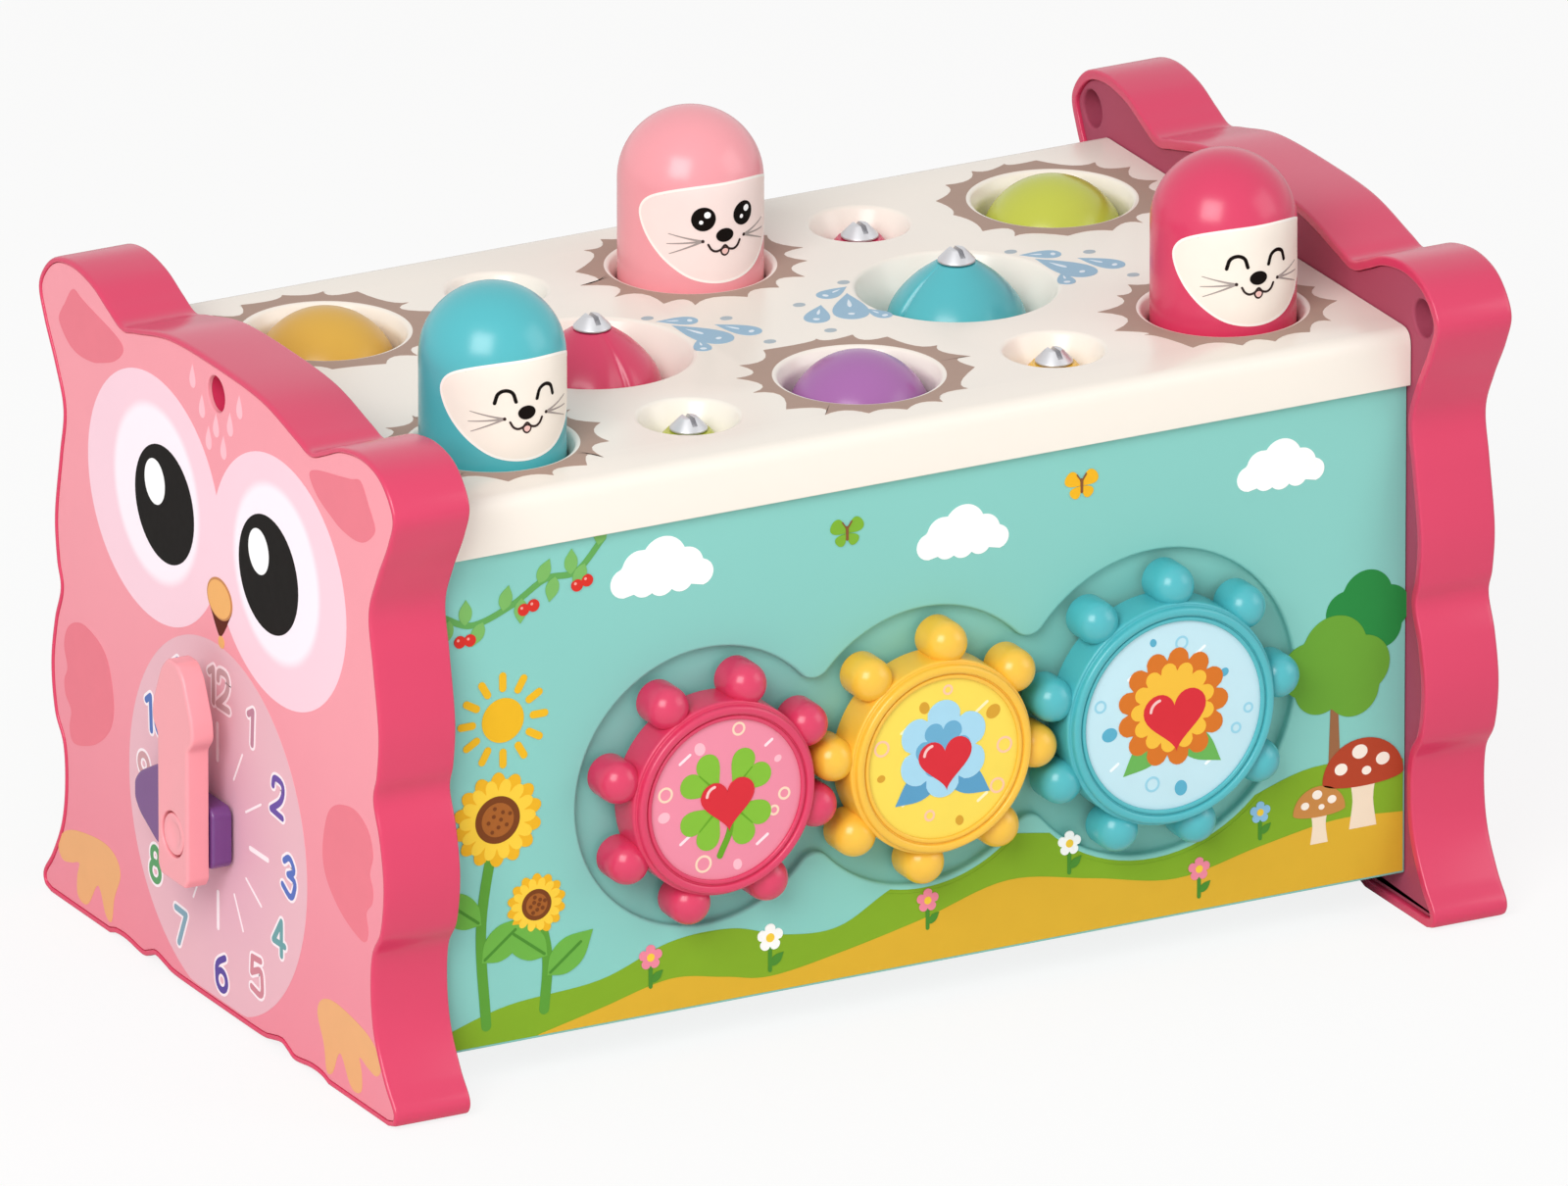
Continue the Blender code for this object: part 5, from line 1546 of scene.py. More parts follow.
    def toadstool(self, x: float, ground: float, size: float, code: str) -> None:
        """A toadstool with a spotted cap."""
        at = (x, ground)
        foot = flowing(mm((-3.2, 0), (-2.4, 6), (-2.6, 12), (2.6, 12), (2.4, 6), (3.2, 0)), 4)
        cap = [mm(9.5 * way.x, 11 + (8.6 if way.y > 0 else 1.892) * way.y)
               for way in (heading(FULL_TURN * i / 44) for i in range(44))]
        self.fill("F3DFC6", placed(foot[::-1], at, size), 4)
        self.fill(code, placed(cap, at, size), 5)
        for a, b, r in mm((-5.2, 13.6, 1.5), (-0.8, 16.8, 1.8), (4.6, 14.4, 1.6), (0.8, 12.4, 1.1)):
            dot = placed([(a, b)], at, size)[0]
            self.fill("FBEFE2", oval(dot, r * size, r * size * 0.86, steps=24), 6)

    def flower(self, x: float, ground: float, size: float, code: str) -> None:
        """A small flower with five petals."""
        head = (x, ground + 8 * MM * size)
        self.draw("4F8E36", [(x, ground), head], 0.5 * MM, 4)
        self.fill("4F8E36", leaf((x, ground + 1 * MM), 4.6 * MM * size, 2.2 * MM * size, 0.7), 5)
        self.fill(code, placed(petals(5, 0.36, 8), head, 3.4 * MM * size, 0.3), 5)
        self.fill("F7CF45", oval(head, 1.1 * MM * size, 1.1 * MM * size, steps=20), 6)

    def butterfly(self, x: float, height: float, code: str) -> None:
        """A small butterfly with its wings spread."""
        for side in (-1, 1):
            self.fill(code, drop((x, height), 4.8 * MM, 4.0 * MM, math.pi / 2 - side * 0.95), 3)
            self.fill(code, drop((x, height), 3.6 * MM, 3.0 * MM, -math.pi / 2 + side * 0.8), 4)
            feeler = [(x, height + 1 * MM), (x + side * 1.2 * MM, height + 2.8 * MM)]
            self.draw("8A5A3A", feeler, 0.16 * MM, 5)
        self.draw("8A5A3A", [(x, height - 1.4 * MM), (x, height + 1.4 * MM)], 0.35 * MM, 5)

    def sun(self, x: float, height: float, radius: float) -> None:
        """A sun with short round rays."""
        self.fill("EDB92A", oval((x, height), radius, radius), 3)
        for i in range(12):
            way = heading(FULL_TURN * i / 12)
            ends = [Vector((x, height)) + way * radius * reach for reach in (1.45, 2.0)]
            self.draw("EDB92A", ends, radius * 0.17, 3)

    def vine(self) -> None:
        """A hanging vine with leaves and berries in the upper left corner."""
        line = flowing(mm((-125, 117), (-117, 113.5), (-107, 116.5), (-98, 121.5), (-90, 122),
                          (-83, 129)), 10)
        self.draw("66A85A", line, 0.75 * MM, 3)
        for i, point in enumerate(line[3::5]):
            turn = math.radians(75 if i % 2 else -105) + 0.25 * math.sin(i * 2.1)
            self.fill("7DB865", leaf(point, 6.2 * MM, 3.4 * MM, turn), 4)
        for i, point in enumerate(line[8::17]):
            for offset in (-1.3, 1.3):
                at = (point.x + offset * MM, point.y - (3.4 + abs(offset - i) * 0.3) * MM)
                self.fill("D8372F", oval(at, 1.5 * MM, 1.5 * MM, steps=24), 5)
                gleam = (at[0] - 0.5 * MM, at[1] + 0.5 * MM)
                self.fill("F2A79C", oval(gleam, 0.35 * MM, 0.35 * MM, steps=12), 6)

    def build(self) -> None:
        """Print the whole garden."""
        for x, height, size in self.clouds:
            self.fill("FDFDFB", placed(clump(self.cloud_lobes), (x, height), size), 2)
        self.sun(-109 * MM, 89 * MM, 5.4 * MM)
        self.vine()
        self.tree(116 * MM, 58 * MM, 0.62, "2F8B45", 1)
        self.tree(107.5 * MM, 40 * MM, 0.8, "6DA53A", 3)
        self.hills()
        self.sunflower(-113.5 * MM, 15 * MM, 50 * MM, 11.5 * MM, 3 * MM)
        self.sunflower(-98.5 * MM, 16.5 * MM, 26 * MM, 7.6 * MM, -2 * MM)
        self.toadstool(115 * MM, 23 * MM, 1.12, "B5482F")
        self.toadstool(103.5 * MM, 21 * MM, 0.72, "C98A4B")
        for x, ground, size, code in self.flowers:
            self.flower(x * MM, ground * MM, size, code)
        for x, height, code in self.butterflies:
            self.butterfly(x, height, code)
        self.print.finish()


# ---- The knob gears ----


@dataclass
class KnobGear:
    """One gear: a hub with domed knobs, a double bezel and a printed disc."""

    spot: GearSpot
    finish: Finish
    ground: str
    train: GearTrain
    hub_sink: float = 4.6 * MM
    thickness: float = 9.5 * MM
    dome_start: float = 4.0 * MM
    dome_rise: float = 0.9 * MM
    bezel_height: float = 1.8 * MM
    bezel_sink: float = 5.5 * MM
    bezel_width: float = 2.6 * MM
    disc_sink: float = 1.2 * MM
    disc_thickness: float = 0.9 * MM
    disc_play: float = 0.08 * MM
    fit: float = 0.3 * MM
    bore: float = 4.0 * MM
    head_bore: float = 6.5 * MM
    head_height: float = 2.0 * MM

    def __post_init__(self) -> None:
        """Take the distances from the middle of the box from the CAD node."""
        box = Bounds.of(f"gear_{self.spot.colour}")
        self.back = -box.high.y
        self.front = self.back + self.thickness
        self.top = self.front + self.bezel_height
        self.disc_face = self.top - self.disc_sink
        self.place = (self.spot.centre.x, 0, self.spot.centre.z)

    def hub(self) -> Mesh:
        """The hub with its bezel, disc seat and bore."""
        hub, out = self.spot.pitch - self.hub_sink, self.spot.pitch - self.bezel_sink
        seat = out - self.bezel_width
        floor = self.disc_face - self.disc_thickness - self.fit
        shoulder = floor - self.head_height - self.fit
        # The bezel's corners from the disc's seat and its top: a bead, a groove and a lip over the disc
        bezel = [(seat + x * MM, self.top + y * MM, ease * MM) for x, y, ease in (
            (0.75, 0, 0.9), (0.62, -0.95, 0.1), (0.32, -0.95, 0.1), (0.2, -0.45, 0.3), (-0.7, -0.5, 0.4))]
        under = self.disc_face + self.disc_play
        profile = eased((
            (self.bore, self.back, 0), (hub, self.back, 0.6 * MM), (hub, self.front, 0.9 * MM),
            (out, self.front, 0.25 * MM), (out, self.top, 1.2 * MM), *bezel,
            (bezel[-1][0], under, 0), (seat, under, 0), (seat, floor, 0), (self.head_bore, floor, 0),
            (self.head_bore, shoulder, 0), (self.bore, shoulder, 0)))
        return turned(profile, closed=True)

    def knob(self, turn: float) -> Mesh:
        """One knob with a domed front."""
        radius, start = self.train.knob_radius, self.front - self.dome_start
        height = self.dome_start + self.dome_rise
        profile = eased(((0, self.back, 0), (radius, self.back, 0.6 * MM), (radius, start, 0)))
        profile += [Vector((radius * math.cos(a), start + height * math.sin(a)))
                    for a in (math.radians(9 * i) for i in range(1, 10))] + [Vector((0, start + height))]
        ring = self.spot.pitch - self.train.knob_sink
        x, z = self.place[0] + ring * math.cos(turn), self.place[2] + ring * math.sin(turn)
        return aimed(turned(profile, 44), (0, -1, 0), (x, 0, z))

    def build(self) -> None:
        """Make the wheel and its disc."""
        name, body = f"wheel_{self.spot.colour}", f"{self.spot.colour}_gear"
        knobs = [self.knob(self.spot.turn + FULL_TURN * i / self.spot.knobs) for i in range(self.spot.knobs)]
        mesh = worked(aimed(self.hub(), (0, -1, 0), self.place), Joinery.JOIN, gathered(knobs))
        piece(name, mesh, self.finish, body, [f"gear_{self.spot.colour}"])
        radius = self.spot.pitch - self.bezel_sink - self.bezel_width - self.fit
        low = self.disc_face - self.disc_thickness
        profile = eased(((0, low, 0), (radius, low, 0.2 * MM), (radius, self.disc_face, 0.2 * MM),
                         (0, self.disc_face, 0)))
        disc = Finish(f"disc_{self.spot.colour}", "disc_print", paint(self.ground), 0.3, drift=0.03,
                      drift_size=9 * MM, sheen=0.15)
        piece(f"disc_{self.spot.colour}", aimed(turned(profile), (0, -1, 0), self.place), disc, body,
              [f"gear_disc_{self.spot.colour}"])
        origin = Vector((self.place[0], -self.disc_face, self.place[2]))
        printer = Printer(f"disc_{self.spot.colour}", Flat(origin, Vector((1, 0, 0))), body)
        DiscPrint(printer, disc, radius).build(Motif[self.spot.colour.upper()])


class Motif(Enum):
    """The plant on each gear's disc, with the seed and the colours of the spots round it."""

    CRIMSON = ("clover", 3, ("F7D9C0", "F9BECB", "FBE3EA"))
    YELLOW = ("bluebell", 5, ("F9C9A8", "D9A33A", "FBF1BE"))
    TEAL = ("sunflower", 8, ("9CD3E6", "5FB0CC", "F4FBFD"))


@dataclass
class DiscPrint(Picture):
    """A plant behind a red heart, with pale spots round them, on a gear's disc."""

    print: Printer
    base: Finish
    radius: float
    spot_count: int = 13

    def ink(self, code: str) -> Finish:
        """An ink of a screen code on the disc."""
        return self.base.ink(f"disc_{code.lower()}", code, 0.3)

    def spots(self, codes: Sequence[str], seed: int) -> None:
        """Pale spots, rings and short dashes spread over the ground."""
        chance = random.Random(seed)
        for i in range(self.spot_count):
            turn = i * FULL_TURN / self.spot_count + chance.uniform(-0.15, 0.15)
            reach = chance.uniform(0.66, 0.86) * self.radius
            at = (reach * math.cos(turn), reach * math.sin(turn))
            size = chance.uniform(0.9, 2.0) * MM
            code = codes[i % len(codes)]
            if i % 3 == 2:
                ends = [(at[0] - size * 0.7, at[1] - size * 0.5), (at[0] + size * 0.7, at[1] + size * 0.5)]
                self.draw(code, ends, 0.35 * MM)
            elif i % 3:
                self.fill(code, oval(at, size, size * 0.85, turn))
            else:
                self.draw(code, oval(at, size, size, steps=28), 0.28 * MM, closed=True)

    def clover(self) -> None:
        """A green four-leaved clover."""
        for i in range(4):
            turn = math.radians(45 + 90 * i)
            at = heading(turn) * self.radius * 0.36
            self.fill("86BE3F", placed(heart(), at, self.radius * 0.3, turn - math.pi / 2), 2)
            self.draw("6AA52F", [at * 0.3, at * 1.35], 0.35 * MM, 3, taper=0.4)
        self.draw("6AA52F", flowing(mm((0, 0), (1.2, -7), (-1.5, -13.5)), 8), 0.8 * MM, 2)

    def bluebell(self) -> None:
        """A light-blue flower with two leaves."""
        for turn in (3.7, 5.7):
            self.fill("5F9FC6", leaf(mm(0, -2), self.radius * 0.74, 7 * MM, turn), 2)
        self.fill("A9D8EE", placed(petals(6, 0.3), mm(0, 2.4), self.radius * 0.6, 0.5), 3)
        self.fill("6FAED0", placed(petals(6, 0.34), mm(0, 2.4), self.radius * 0.36), 4)

    def sunflower(self) -> None:
        """An orange and yellow sunflower."""
        for turn in (3.8, 5.6):
            self.fill("6DB35A", leaf(mm(0, -3), self.radius * 0.7, 7 * MM, turn), 2)
        self.fill("D8772E", placed(petals(13, 0.2, 8), mm(0, 2), self.radius * 0.62), 3)
        self.fill("F5C044", placed(petals(13, 0.2, 8), mm(0, 2), self.radius * 0.47, 0.24), 4)

    def build(self, motif: Motif) -> None:
        """Print the disc."""
        plant, seed, codes = motif.value
        self.spots(codes, seed)
        {"clover": self.clover, "bluebell": self.bluebell, "sunflower": self.sunflower}[plant]()
        self.fill("D9353F", placed(heart(), mm(0.6, -1.6), self.radius * 0.35, 0.05), 5)
        gleam = sweep((-self.radius * 0.13, self.radius * 0.06), self.radius * 0.12,
                      math.radians(100), math.radians(175), 8)
        self.draw("F6C9C6", gleam, 0.35 * MM, 6)
        self.print.finish()


# ---- Moles ----


@dataclass
class Mole:
    """A mole: a hollow dome with a printed face that looks to the front."""

    COLOURS: ClassVar[dict[str, Finish]] = {
        "teal": TEAL, "yellow": MUSTARD, "purple": PURPLE, "pink": PINK, "crimson": CRIMSON, "green": GREEN}

    colour: str
    radius: float = 17.0 * MM
    wall: float = 2.0 * MM
    dome: float = 16.9 * MM
    foot_round: float = 0.6 * MM
    rise: float = 38.5 * MM
    patch: Line = mm(
        (0, 25.2), (7, 24.9), (13.5, 23.7), (18.6, 21.6), (21.0, 18.4),
        (20.2, 14.6), (17.3, 10.2), (12.8, 5.9), (7.2, 2.6), (0, 1.4))
    eye: Point = mm(5.2, 17.2)
    nose: Point = mm(0, 12.8)
    mouth: Line = mm(
        (-4.1, 10.9), (-3.4, 9.7), (-2.3, 9.1), (-1.0, 9.4), (0, 10.3))
    whisker_root: Point = mm(5.4, 11.8)
    whisker_ends: Line = mm((13.4, 13.6), (13.8, 11.1), (13.2, 8.7))

    def __post_init__(self) -> None:
        """Take its place from the CAD node."""
        self.box = Bounds.of(f"mole_{self.colour}")
        self.finish = self.COLOURS[self.colour]

    def outside(self) -> list[Point]:
        """The profile of its outside, from the foot to the top."""
        shoulder = self.box.high.z - self.dome
        foot = eased(((self.radius - 2 * self.foot_round, self.box.low.z, 0),
                      (self.radius, self.box.low.z, self.foot_round), (self.radius, shoulder, 0)))
        dome = [Vector((self.radius * math.cos(a), shoulder + self.dome * math.sin(a)))
                for a in (math.radians(4.5 * i) for i in range(1, 20))]
        return foot[1:] + dome + [Vector((0, self.box.high.z))]

    def shell(self) -> None:
        """The dome."""
        shoulder = self.box.high.z - self.dome
        inner, height = self.radius - self.wall, self.dome - self.wall
        inside = [(inner * math.cos(a), shoulder + height * math.sin(a))
                  for a in (math.radians(15 * i) for i in range(1, 6))]
        profile = [(0, shoulder + height)] + inside[::-1] + [(inner, shoulder), (inner, self.box.low.z)]
        mesh = aimed(turned(profile + self.outside()), (0, 0, 1), (self.box.centre.x, self.box.centre.y, 0))
        piece(f"mole_{self.colour}_shell", mesh, self.finish, f"{self.colour}_mole", [f"mole_{self.colour}"])

    def face(self) -> None:
        """The face print, with its heights above the deck's level when the mole stands."""
        ground = self.box.high.z - self.rise
        profile = tuple((p[0], p[1] - ground) for p in self.outside())
        skin_face = Turning(Vector((self.box.centre.x, self.box.centre.y, ground)), self.radius, profile)
        printer = Printer(f"mole_{self.colour}_face", skin_face, f"{self.colour}_mole", rings=9)
        cream = CREAM.ink(*(("mole_blush", "FBE6E0") if self.colour == "pink" else ("mole_cream", "F8EEE2")))
        edge, black = CREAM.ink("mole_edge", "FFF9F2"), CREAM.ink("mole_black", "17110F", 0.3)
        line, grey = CREAM.ink("mole_line", "3A2C2A"), CREAM.ink("mole_grey", "A79C97")
        white, tongue = CREAM.ink("mole_white", "FFFFFF"), CREAM.ink("mole_tongue", "F2C4BD")
        half = [Vector(p) for p in self.patch]
        outline = flowing(half + [Vector((-p.x, p.y)) for p in half[-2:0:-1]], 6, closed=True)
        printer.blot(cream, outline, 1)
        printer.stroke(edge, outline, 0.3 * MM, 1.5, closed=True)
        printer.rings = 3
        for side in (-1, 1):
            at = Vector((side * self.eye[0], self.eye[1]))
            if self.colour in ("teal", "crimson", "purple"):
                arch = flowing(mm((-2.5, -1.5), (-1.7, 0.7), (0, 1.45), (1.7, 0.7), (2.5, -1.5)), 6)
                printer.stroke(black, placed(arch, at), 0.42 * MM, 2.5)
            else:
                printer.blot(black, oval(at, 2.9 * MM, 2.9 * MM, steps=40), 2.5)
                printer.blot(white, oval(at + Vector(mm(0.9, 1.0)), 0.8 * MM, 0.8 * MM, steps=24), 3.5)
                printer.blot(white, oval(at + Vector(mm(-0.6, -0.7)), 0.5 * MM, 0.5 * MM, steps=20), 3.5)
            root = Vector((side * self.whisker_root[0], self.whisker_root[1]))
            for end in self.whisker_ends:
                points = [root.lerp(Vector((side * end[0], end[1])), i / 10) for i in range(11)]
                printer.stroke(grey, points, 0.26 * MM, 2.5, taper=0.3)
            printer.blot(line, oval(root, 0.4 * MM, 0.4 * MM, steps=16), 2.8)
        smile = [Vector(p) for p in self.mouth] + [Vector((-p[0], p[1])) for p in self.mouth[-2::-1]]
        lip = flowing(mm((-1.15, 9.3), (-0.9, 8.2), (0, 7.7), (0.9, 8.2), (1.15, 9.3), (0, 9.9)), 5,
                      closed=True)
        printer.blot(line, lip, 2.5)
        printer.blot(tongue, placed(lip, mm(0, 3.15), 0.65), 3.2)
        printer.stroke(line, flowing(smile, 6), 0.26 * MM, 3.4)
        printer.blot(black, oval(self.nose, 2.2 * MM, 1.65 * MM, steps=40), 3.6)
        printer.finish()

    def build(self) -> None:
        """Make the mole."""
        self.shell()
        self.face()


# ---- Fish and worms ----


class Kind(Enum):
    """The two kinds of magnet catch, with the steps round each and its profile.

    A profile's points are shares of the radius and of the height below the top.
    """

    FISH = ("fish", 288, ((0.42, 1.00), (0.78, 0.82), (1.00, 0.55), (1.00, 0.37), (0.935, 0.26),
                          (0.80, 0.175), (0.61, 0.095), (0.45, 0.045), (0.285, 0.00)))
    WORM = ("worm", 48, ((0.70, 1.00), (1.00, 0.84), (1.00, 0.62), (0.80, 0.46), (1.00, 0.30),
                         (1.00, 0.10), (0.78, 0.00)))


@dataclass(frozen=True)
class Crease:
    """A fold down a flank: its direction, how far it spreads to each side, and its depth as a share."""

    turn: float
    spread: Point
    depth: float

    def share(self, turn: float) -> float:
        """The share of the radius that is left in a direction."""
        off = (turn - self.turn + math.pi) % FULL_TURN - math.pi
        return 1 - self.depth * math.exp(-(off / self.spread[off > 0]) ** 2)


@dataclass
class Catch:
    """A fish or worm in its pocket, with the slotted steel tip that a magnet picks up."""

    PLASTICS: ClassVar[dict[str, Finish]] = {
        "crimson": CRIMSON, "teal": TEAL, "green": GREEN, "yellow": YELLOW, "red": CRIMSON}

    kind: Kind
    colour: str
    crease: Crease | None = None
    tip_radius: float = 4.4 * MM
    tip_height: float = 3.0 * MM
    tip_profile: Line = ((1.0, 0.0), (1.0, 0.14), (0.44, 1.0))
    slot_width: float = 1.3 * MM
    slot_depth: float = 1.5 * MM
    pin_radius: float = 1.8 * MM
    pin_length: float = 5.0 * MM
    fit: float = 0.3 * MM

    def body(self) -> None:
        """The fish or worm itself, with a crease down one flank."""
        kind, steps, shares = self.kind.value
        node = f"{kind}_{self.colour}"
        box = Bounds.of(node)
        radius, height = box.size.x / 2, box.size.z
        curve = flowing([(radius * r, box.high.z - height * h) for r, h in shares], 6)
        widest = max(p.x for p in curve)
        profile = [(0, box.low.z)] + [(min(p.x, radius) if widest > radius else p.x, p.y) for p in curve]
        rim = eased(((profile[-1][0], profile[-1][1], 0), (profile[-1][0] - 0.4 * MM, box.high.z, 0)))
        mesh = turned(profile + rim[1:] + [(0, box.high.z)], steps)
        for vertex in mesh.verts if self.crease else ():
            share = self.crease.share(math.atan2(vertex.co.y, vertex.co.x))
            vertex.co.x *= share
            vertex.co.y *= share
        at = (box.centre.x, box.centre.y, 0)
        hole = self.pin_radius + self.fit
        low = box.high.z - self.pin_length - self.fit
        tool = turned(rod(hole, low, box.high.z + OVER), 32)
        mesh = worked(aimed(mesh, (0, 0, 1), at), Joinery.CUT, aimed(tool, (0, 0, 1), at))
        piece(f"{node}_body", mesh, self.PLASTICS[self.colour], f"{self.colour}_{kind}", [node])

    def tip(self) -> None:
        """The slotted steel tip."""
        node = f"{self.kind.value[0]}_tip_{self.colour}"
        box = Bounds.of(node)
        foot = box.high.z - self.tip_height
        corners = [(r * self.tip_radius, foot + h * self.tip_height, 0.12 * MM) for r, h in self.tip_profile]
        profile = eased([(0, foot - self.pin_length, 0), (self.pin_radius, foot - self.pin_length, 0),
                         (self.pin_radius, foot, 0), *corners, (0, box.high.z, 0)])
        centre = box.centre
        mesh = aimed(turned(profile, 40), (0, 0, 1), (centre.x, centre.y, 0))
        half, reach = self.slot_width / 2, self.tip_radius + OVER
        tool = skin([[Vector((centre.x + x, centre.y + y, z)) for x, y in
                      ((-half, -reach), (half, -reach), (half, reach), (-half, reach))]
                     for z in (box.high.z - self.slot_depth, box.high.z + OVER)])
        mesh = worked(mesh, Joinery.CUT, tool)
        piece(f"{node}_cone", mesh, STEEL, f"{self.colour}_{self.kind.value[0]}", [node])

    def build(self) -> None:
        """Make the catch."""
        self.body()
        self.tip()


# ---- The clock ----


# Strokes of each figure: corners (across, up, ease) in a box one high; a lone oval is (x, y, a, b)
FIGURES: dict[str, tuple[tuple[tuple[float, ...], ...], ...]] = {
    "0": (((0, 0, 0.27, 0.42),),),
    "1": (((-0.16, 0.30, 0), (0.08, 0.46, 0)), ((0.08, 0.46, 0), (0.08, -0.46, 0))),
    "2": (((-0.26, 0.24, 0), (-0.24, 0.50, 0.22), (0.32, 0.52, 0.3), (0.28, 0.02, 0.3), (-0.30, -0.44, 0)),
          ((-0.30, -0.44, 0), (0.32, -0.44, 0))),
    "3": (((-0.26, 0.34, 0), (0.02, 0.58, 0.2), (0.38, 0.26, 0.25), (-0.02, 0.05, 0)),
          ((-0.02, 0.05, 0), (0.42, 0.02, 0.22), (0.24, -0.60, 0.3), (-0.30, -0.34, 0))),
    "4": (((0.14, -0.46, 0), (0.14, 0.46, 0)), ((0.14, 0.46, 0), (-0.30, -0.16, 0)),
          ((-0.30, -0.16, 0), (0.32, -0.16, 0))),
    "5": (((0.28, 0.44, 0), (-0.18, 0.44, 0)), ((-0.18, 0.44, 0), (-0.24, 0.02, 0)),
          ((-0.24, 0.02, 0), (0.32, 0.24, 0.24), (0.34, -0.56, 0.3), (-0.28, -0.38, 0))),
    "6": (((0.18, 0.46, 0), (-0.30, 0.20, 0.4), (-0.27, -0.20, 0)), ((0, -0.2, 0.27, 0.26),)),
    "7": (((-0.28, 0.44, 0), (0.30, 0.44, 0)), ((0.30, 0.44, 0), (-0.06, -0.46, 0))),
    "8": (((0, 0.23, 0.2, 0.21),), ((0, -0.2, 0.26, 0.25),)),
    "9": (((-0.16, -0.46, 0), (0.28, -0.20, 0.4), (0.26, 0.2, 0)), ((0, 0.2, 0.26, 0.25),))}


@dataclass
class Clock:
    """The dial's figures and strokes, the two hands and the spindle."""

    end: OwlEnd
    digit_height: float = 9.0 * MM
    digit_gap: float = 5.4 * MM
    ink_half: float = 0.8 * MM
    halo: float = 0.66 * MM
    stroke_ends: Point = mm(16.3, 25.0)
    stroke_halves: Point = mm(0.62, 0.3)
    numbers: tuple[tuple[str, float, float, str, float], ...] = (
        ("12", 0.2 * MM, 79.0 * MM, "C9A8AC", 0.0), ("1", 17.0 * MM, 75.0 * MM, "C08A9C", -0.06),
        ("2", 30.0 * MM, 62.0 * MM, "6E57A5", -0.1), ("3", 35.4 * MM, 44.5 * MM, "5C74BE", -0.08),
        ("4", 30.5 * MM, 28.0 * MM, "6FA3A6", 0.0), ("5", 19.0 * MM, 14.8 * MM, "D08A96", 0.06),
        ("6", 1.7 * MM, 9.4 * MM, "5F4E9E", 0.0), ("7", -19.0 * MM, 13.8 * MM, "86A9B8", -0.05),
        ("8", -31.5 * MM, 25.0 * MM, "5FA06A", 0.0), ("9", -37.0 * MM, 46.0 * MM, "CFA0A4", 0.05),
        ("10", -31.4 * MM, 61.5 * MM, "5C78B8", 0.05), ("11", -17.6 * MM, 75.0 * MM, "7C9EC6", 0.06))
    hand_half: float = 7.5 * MM
    head_half: float = 10.2 * MM
    minute_tip: float = 42.4 * MM
    minute_tail: float = 11.5 * MM
    hour_tip: float = 31.0 * MM
    hour_tail: float = 8.5 * MM
    hand_round: float = 0.9 * MM
    spindle_radius: float = 3.0 * MM
    slide: float = 0.5 * MM
    button_radius: float = 5.0 * MM
    button_height: float = 1.6 * MM
    fit: float = 0.3 * MM
    clearance: float = 0.01 * MM
    # Half outlines from the neck to the tip, as shares of the head's half width and the tip's distance
    hour_shares: Line = ((0.75, 0.40), (1.00, 0.50), (0.95, 0.64), (0.50, 0.92), (0.22, 1.0))
    minute_shares: Line = ((0.75, 0.53), (1.00, 0.60), (0.97, 0.70), (0.55, 0.93), (0.25, 1.0))

    def figures(self) -> None:
        """The numbers with their white outlines, and a stroke for each hour."""
        end = self.end
        face = end.middle - end.face + end.plate_sink
        printer = Printer("dial", Flat(Vector((face, 0, 0)), Vector((0, -1, 0))), "box")
        white = FACE_PINK.ink("dial_white", "FBEFF3")
        for i in range(12):
            way = Vector((math.sin(FULL_TURN * i / 12), math.cos(FULL_TURN * i / 12)))
            half = self.stroke_halves[0 if i % 3 == 0 else 1]
            ends = [Vector((0, end.clock_height)) + way * reach for reach in self.stroke_ends]
            printer.stroke(white, ends, half, 2)
        for text, x, height, code, turn in self.numbers:
            ink = FACE_PINK.ink(f"dial_{code.lower()}", code)
            for k, digit in enumerate(text):
                at = (x + (k - (len(text) - 1) / 2) * self.digit_gap, height)
                for form in FIGURES[digit]:
                    closed = len(form[0]) == 4
                    line = oval(form[0][:2], *form[0][2:], steps=28) if closed else eased(form)
                    line = placed(line, at, self.digit_height, turn)
                    printer.stroke(white, line, self.ink_half + self.halo, 2, closed)
                    printer.stroke(ink, line, self.ink_half, 3, closed)
        printer.finish()

    def outline(self, shares: Line, tip: float, tail: float, turn: float) -> list[Vector]:
        """A hand's outline about its pivot.

        Args:
            shares: Its half outline from the neck to the tip.
            tip: The distance from the pivot to the tip.
            tail: The distance from the pivot to the other end.
            turn: Its turn from twelve o'clock, anticlockwise.

        Returns:
            The outline, anticlockwise.
        """
        side = [(self.hand_half * 0.8, -tail, 0.8 * MM), (self.hand_half, -tail * 0.82, 0.8 * MM),
                (self.hand_half, tip * shares[0][1], 0.8 * MM)]
        side += [(self.head_half * u, tip * v, 1.6 * MM) for u, v in shares[1:-1]]
        side += [(self.head_half * shares[-1][0], tip * shares[-1][1], 1.2 * MM)]
        whole = [*side, *[(-u, v, ease) for u, v, ease in reversed(side)]]
        return placed(eased(whole, closed=True), (0, 0), 1, turn)

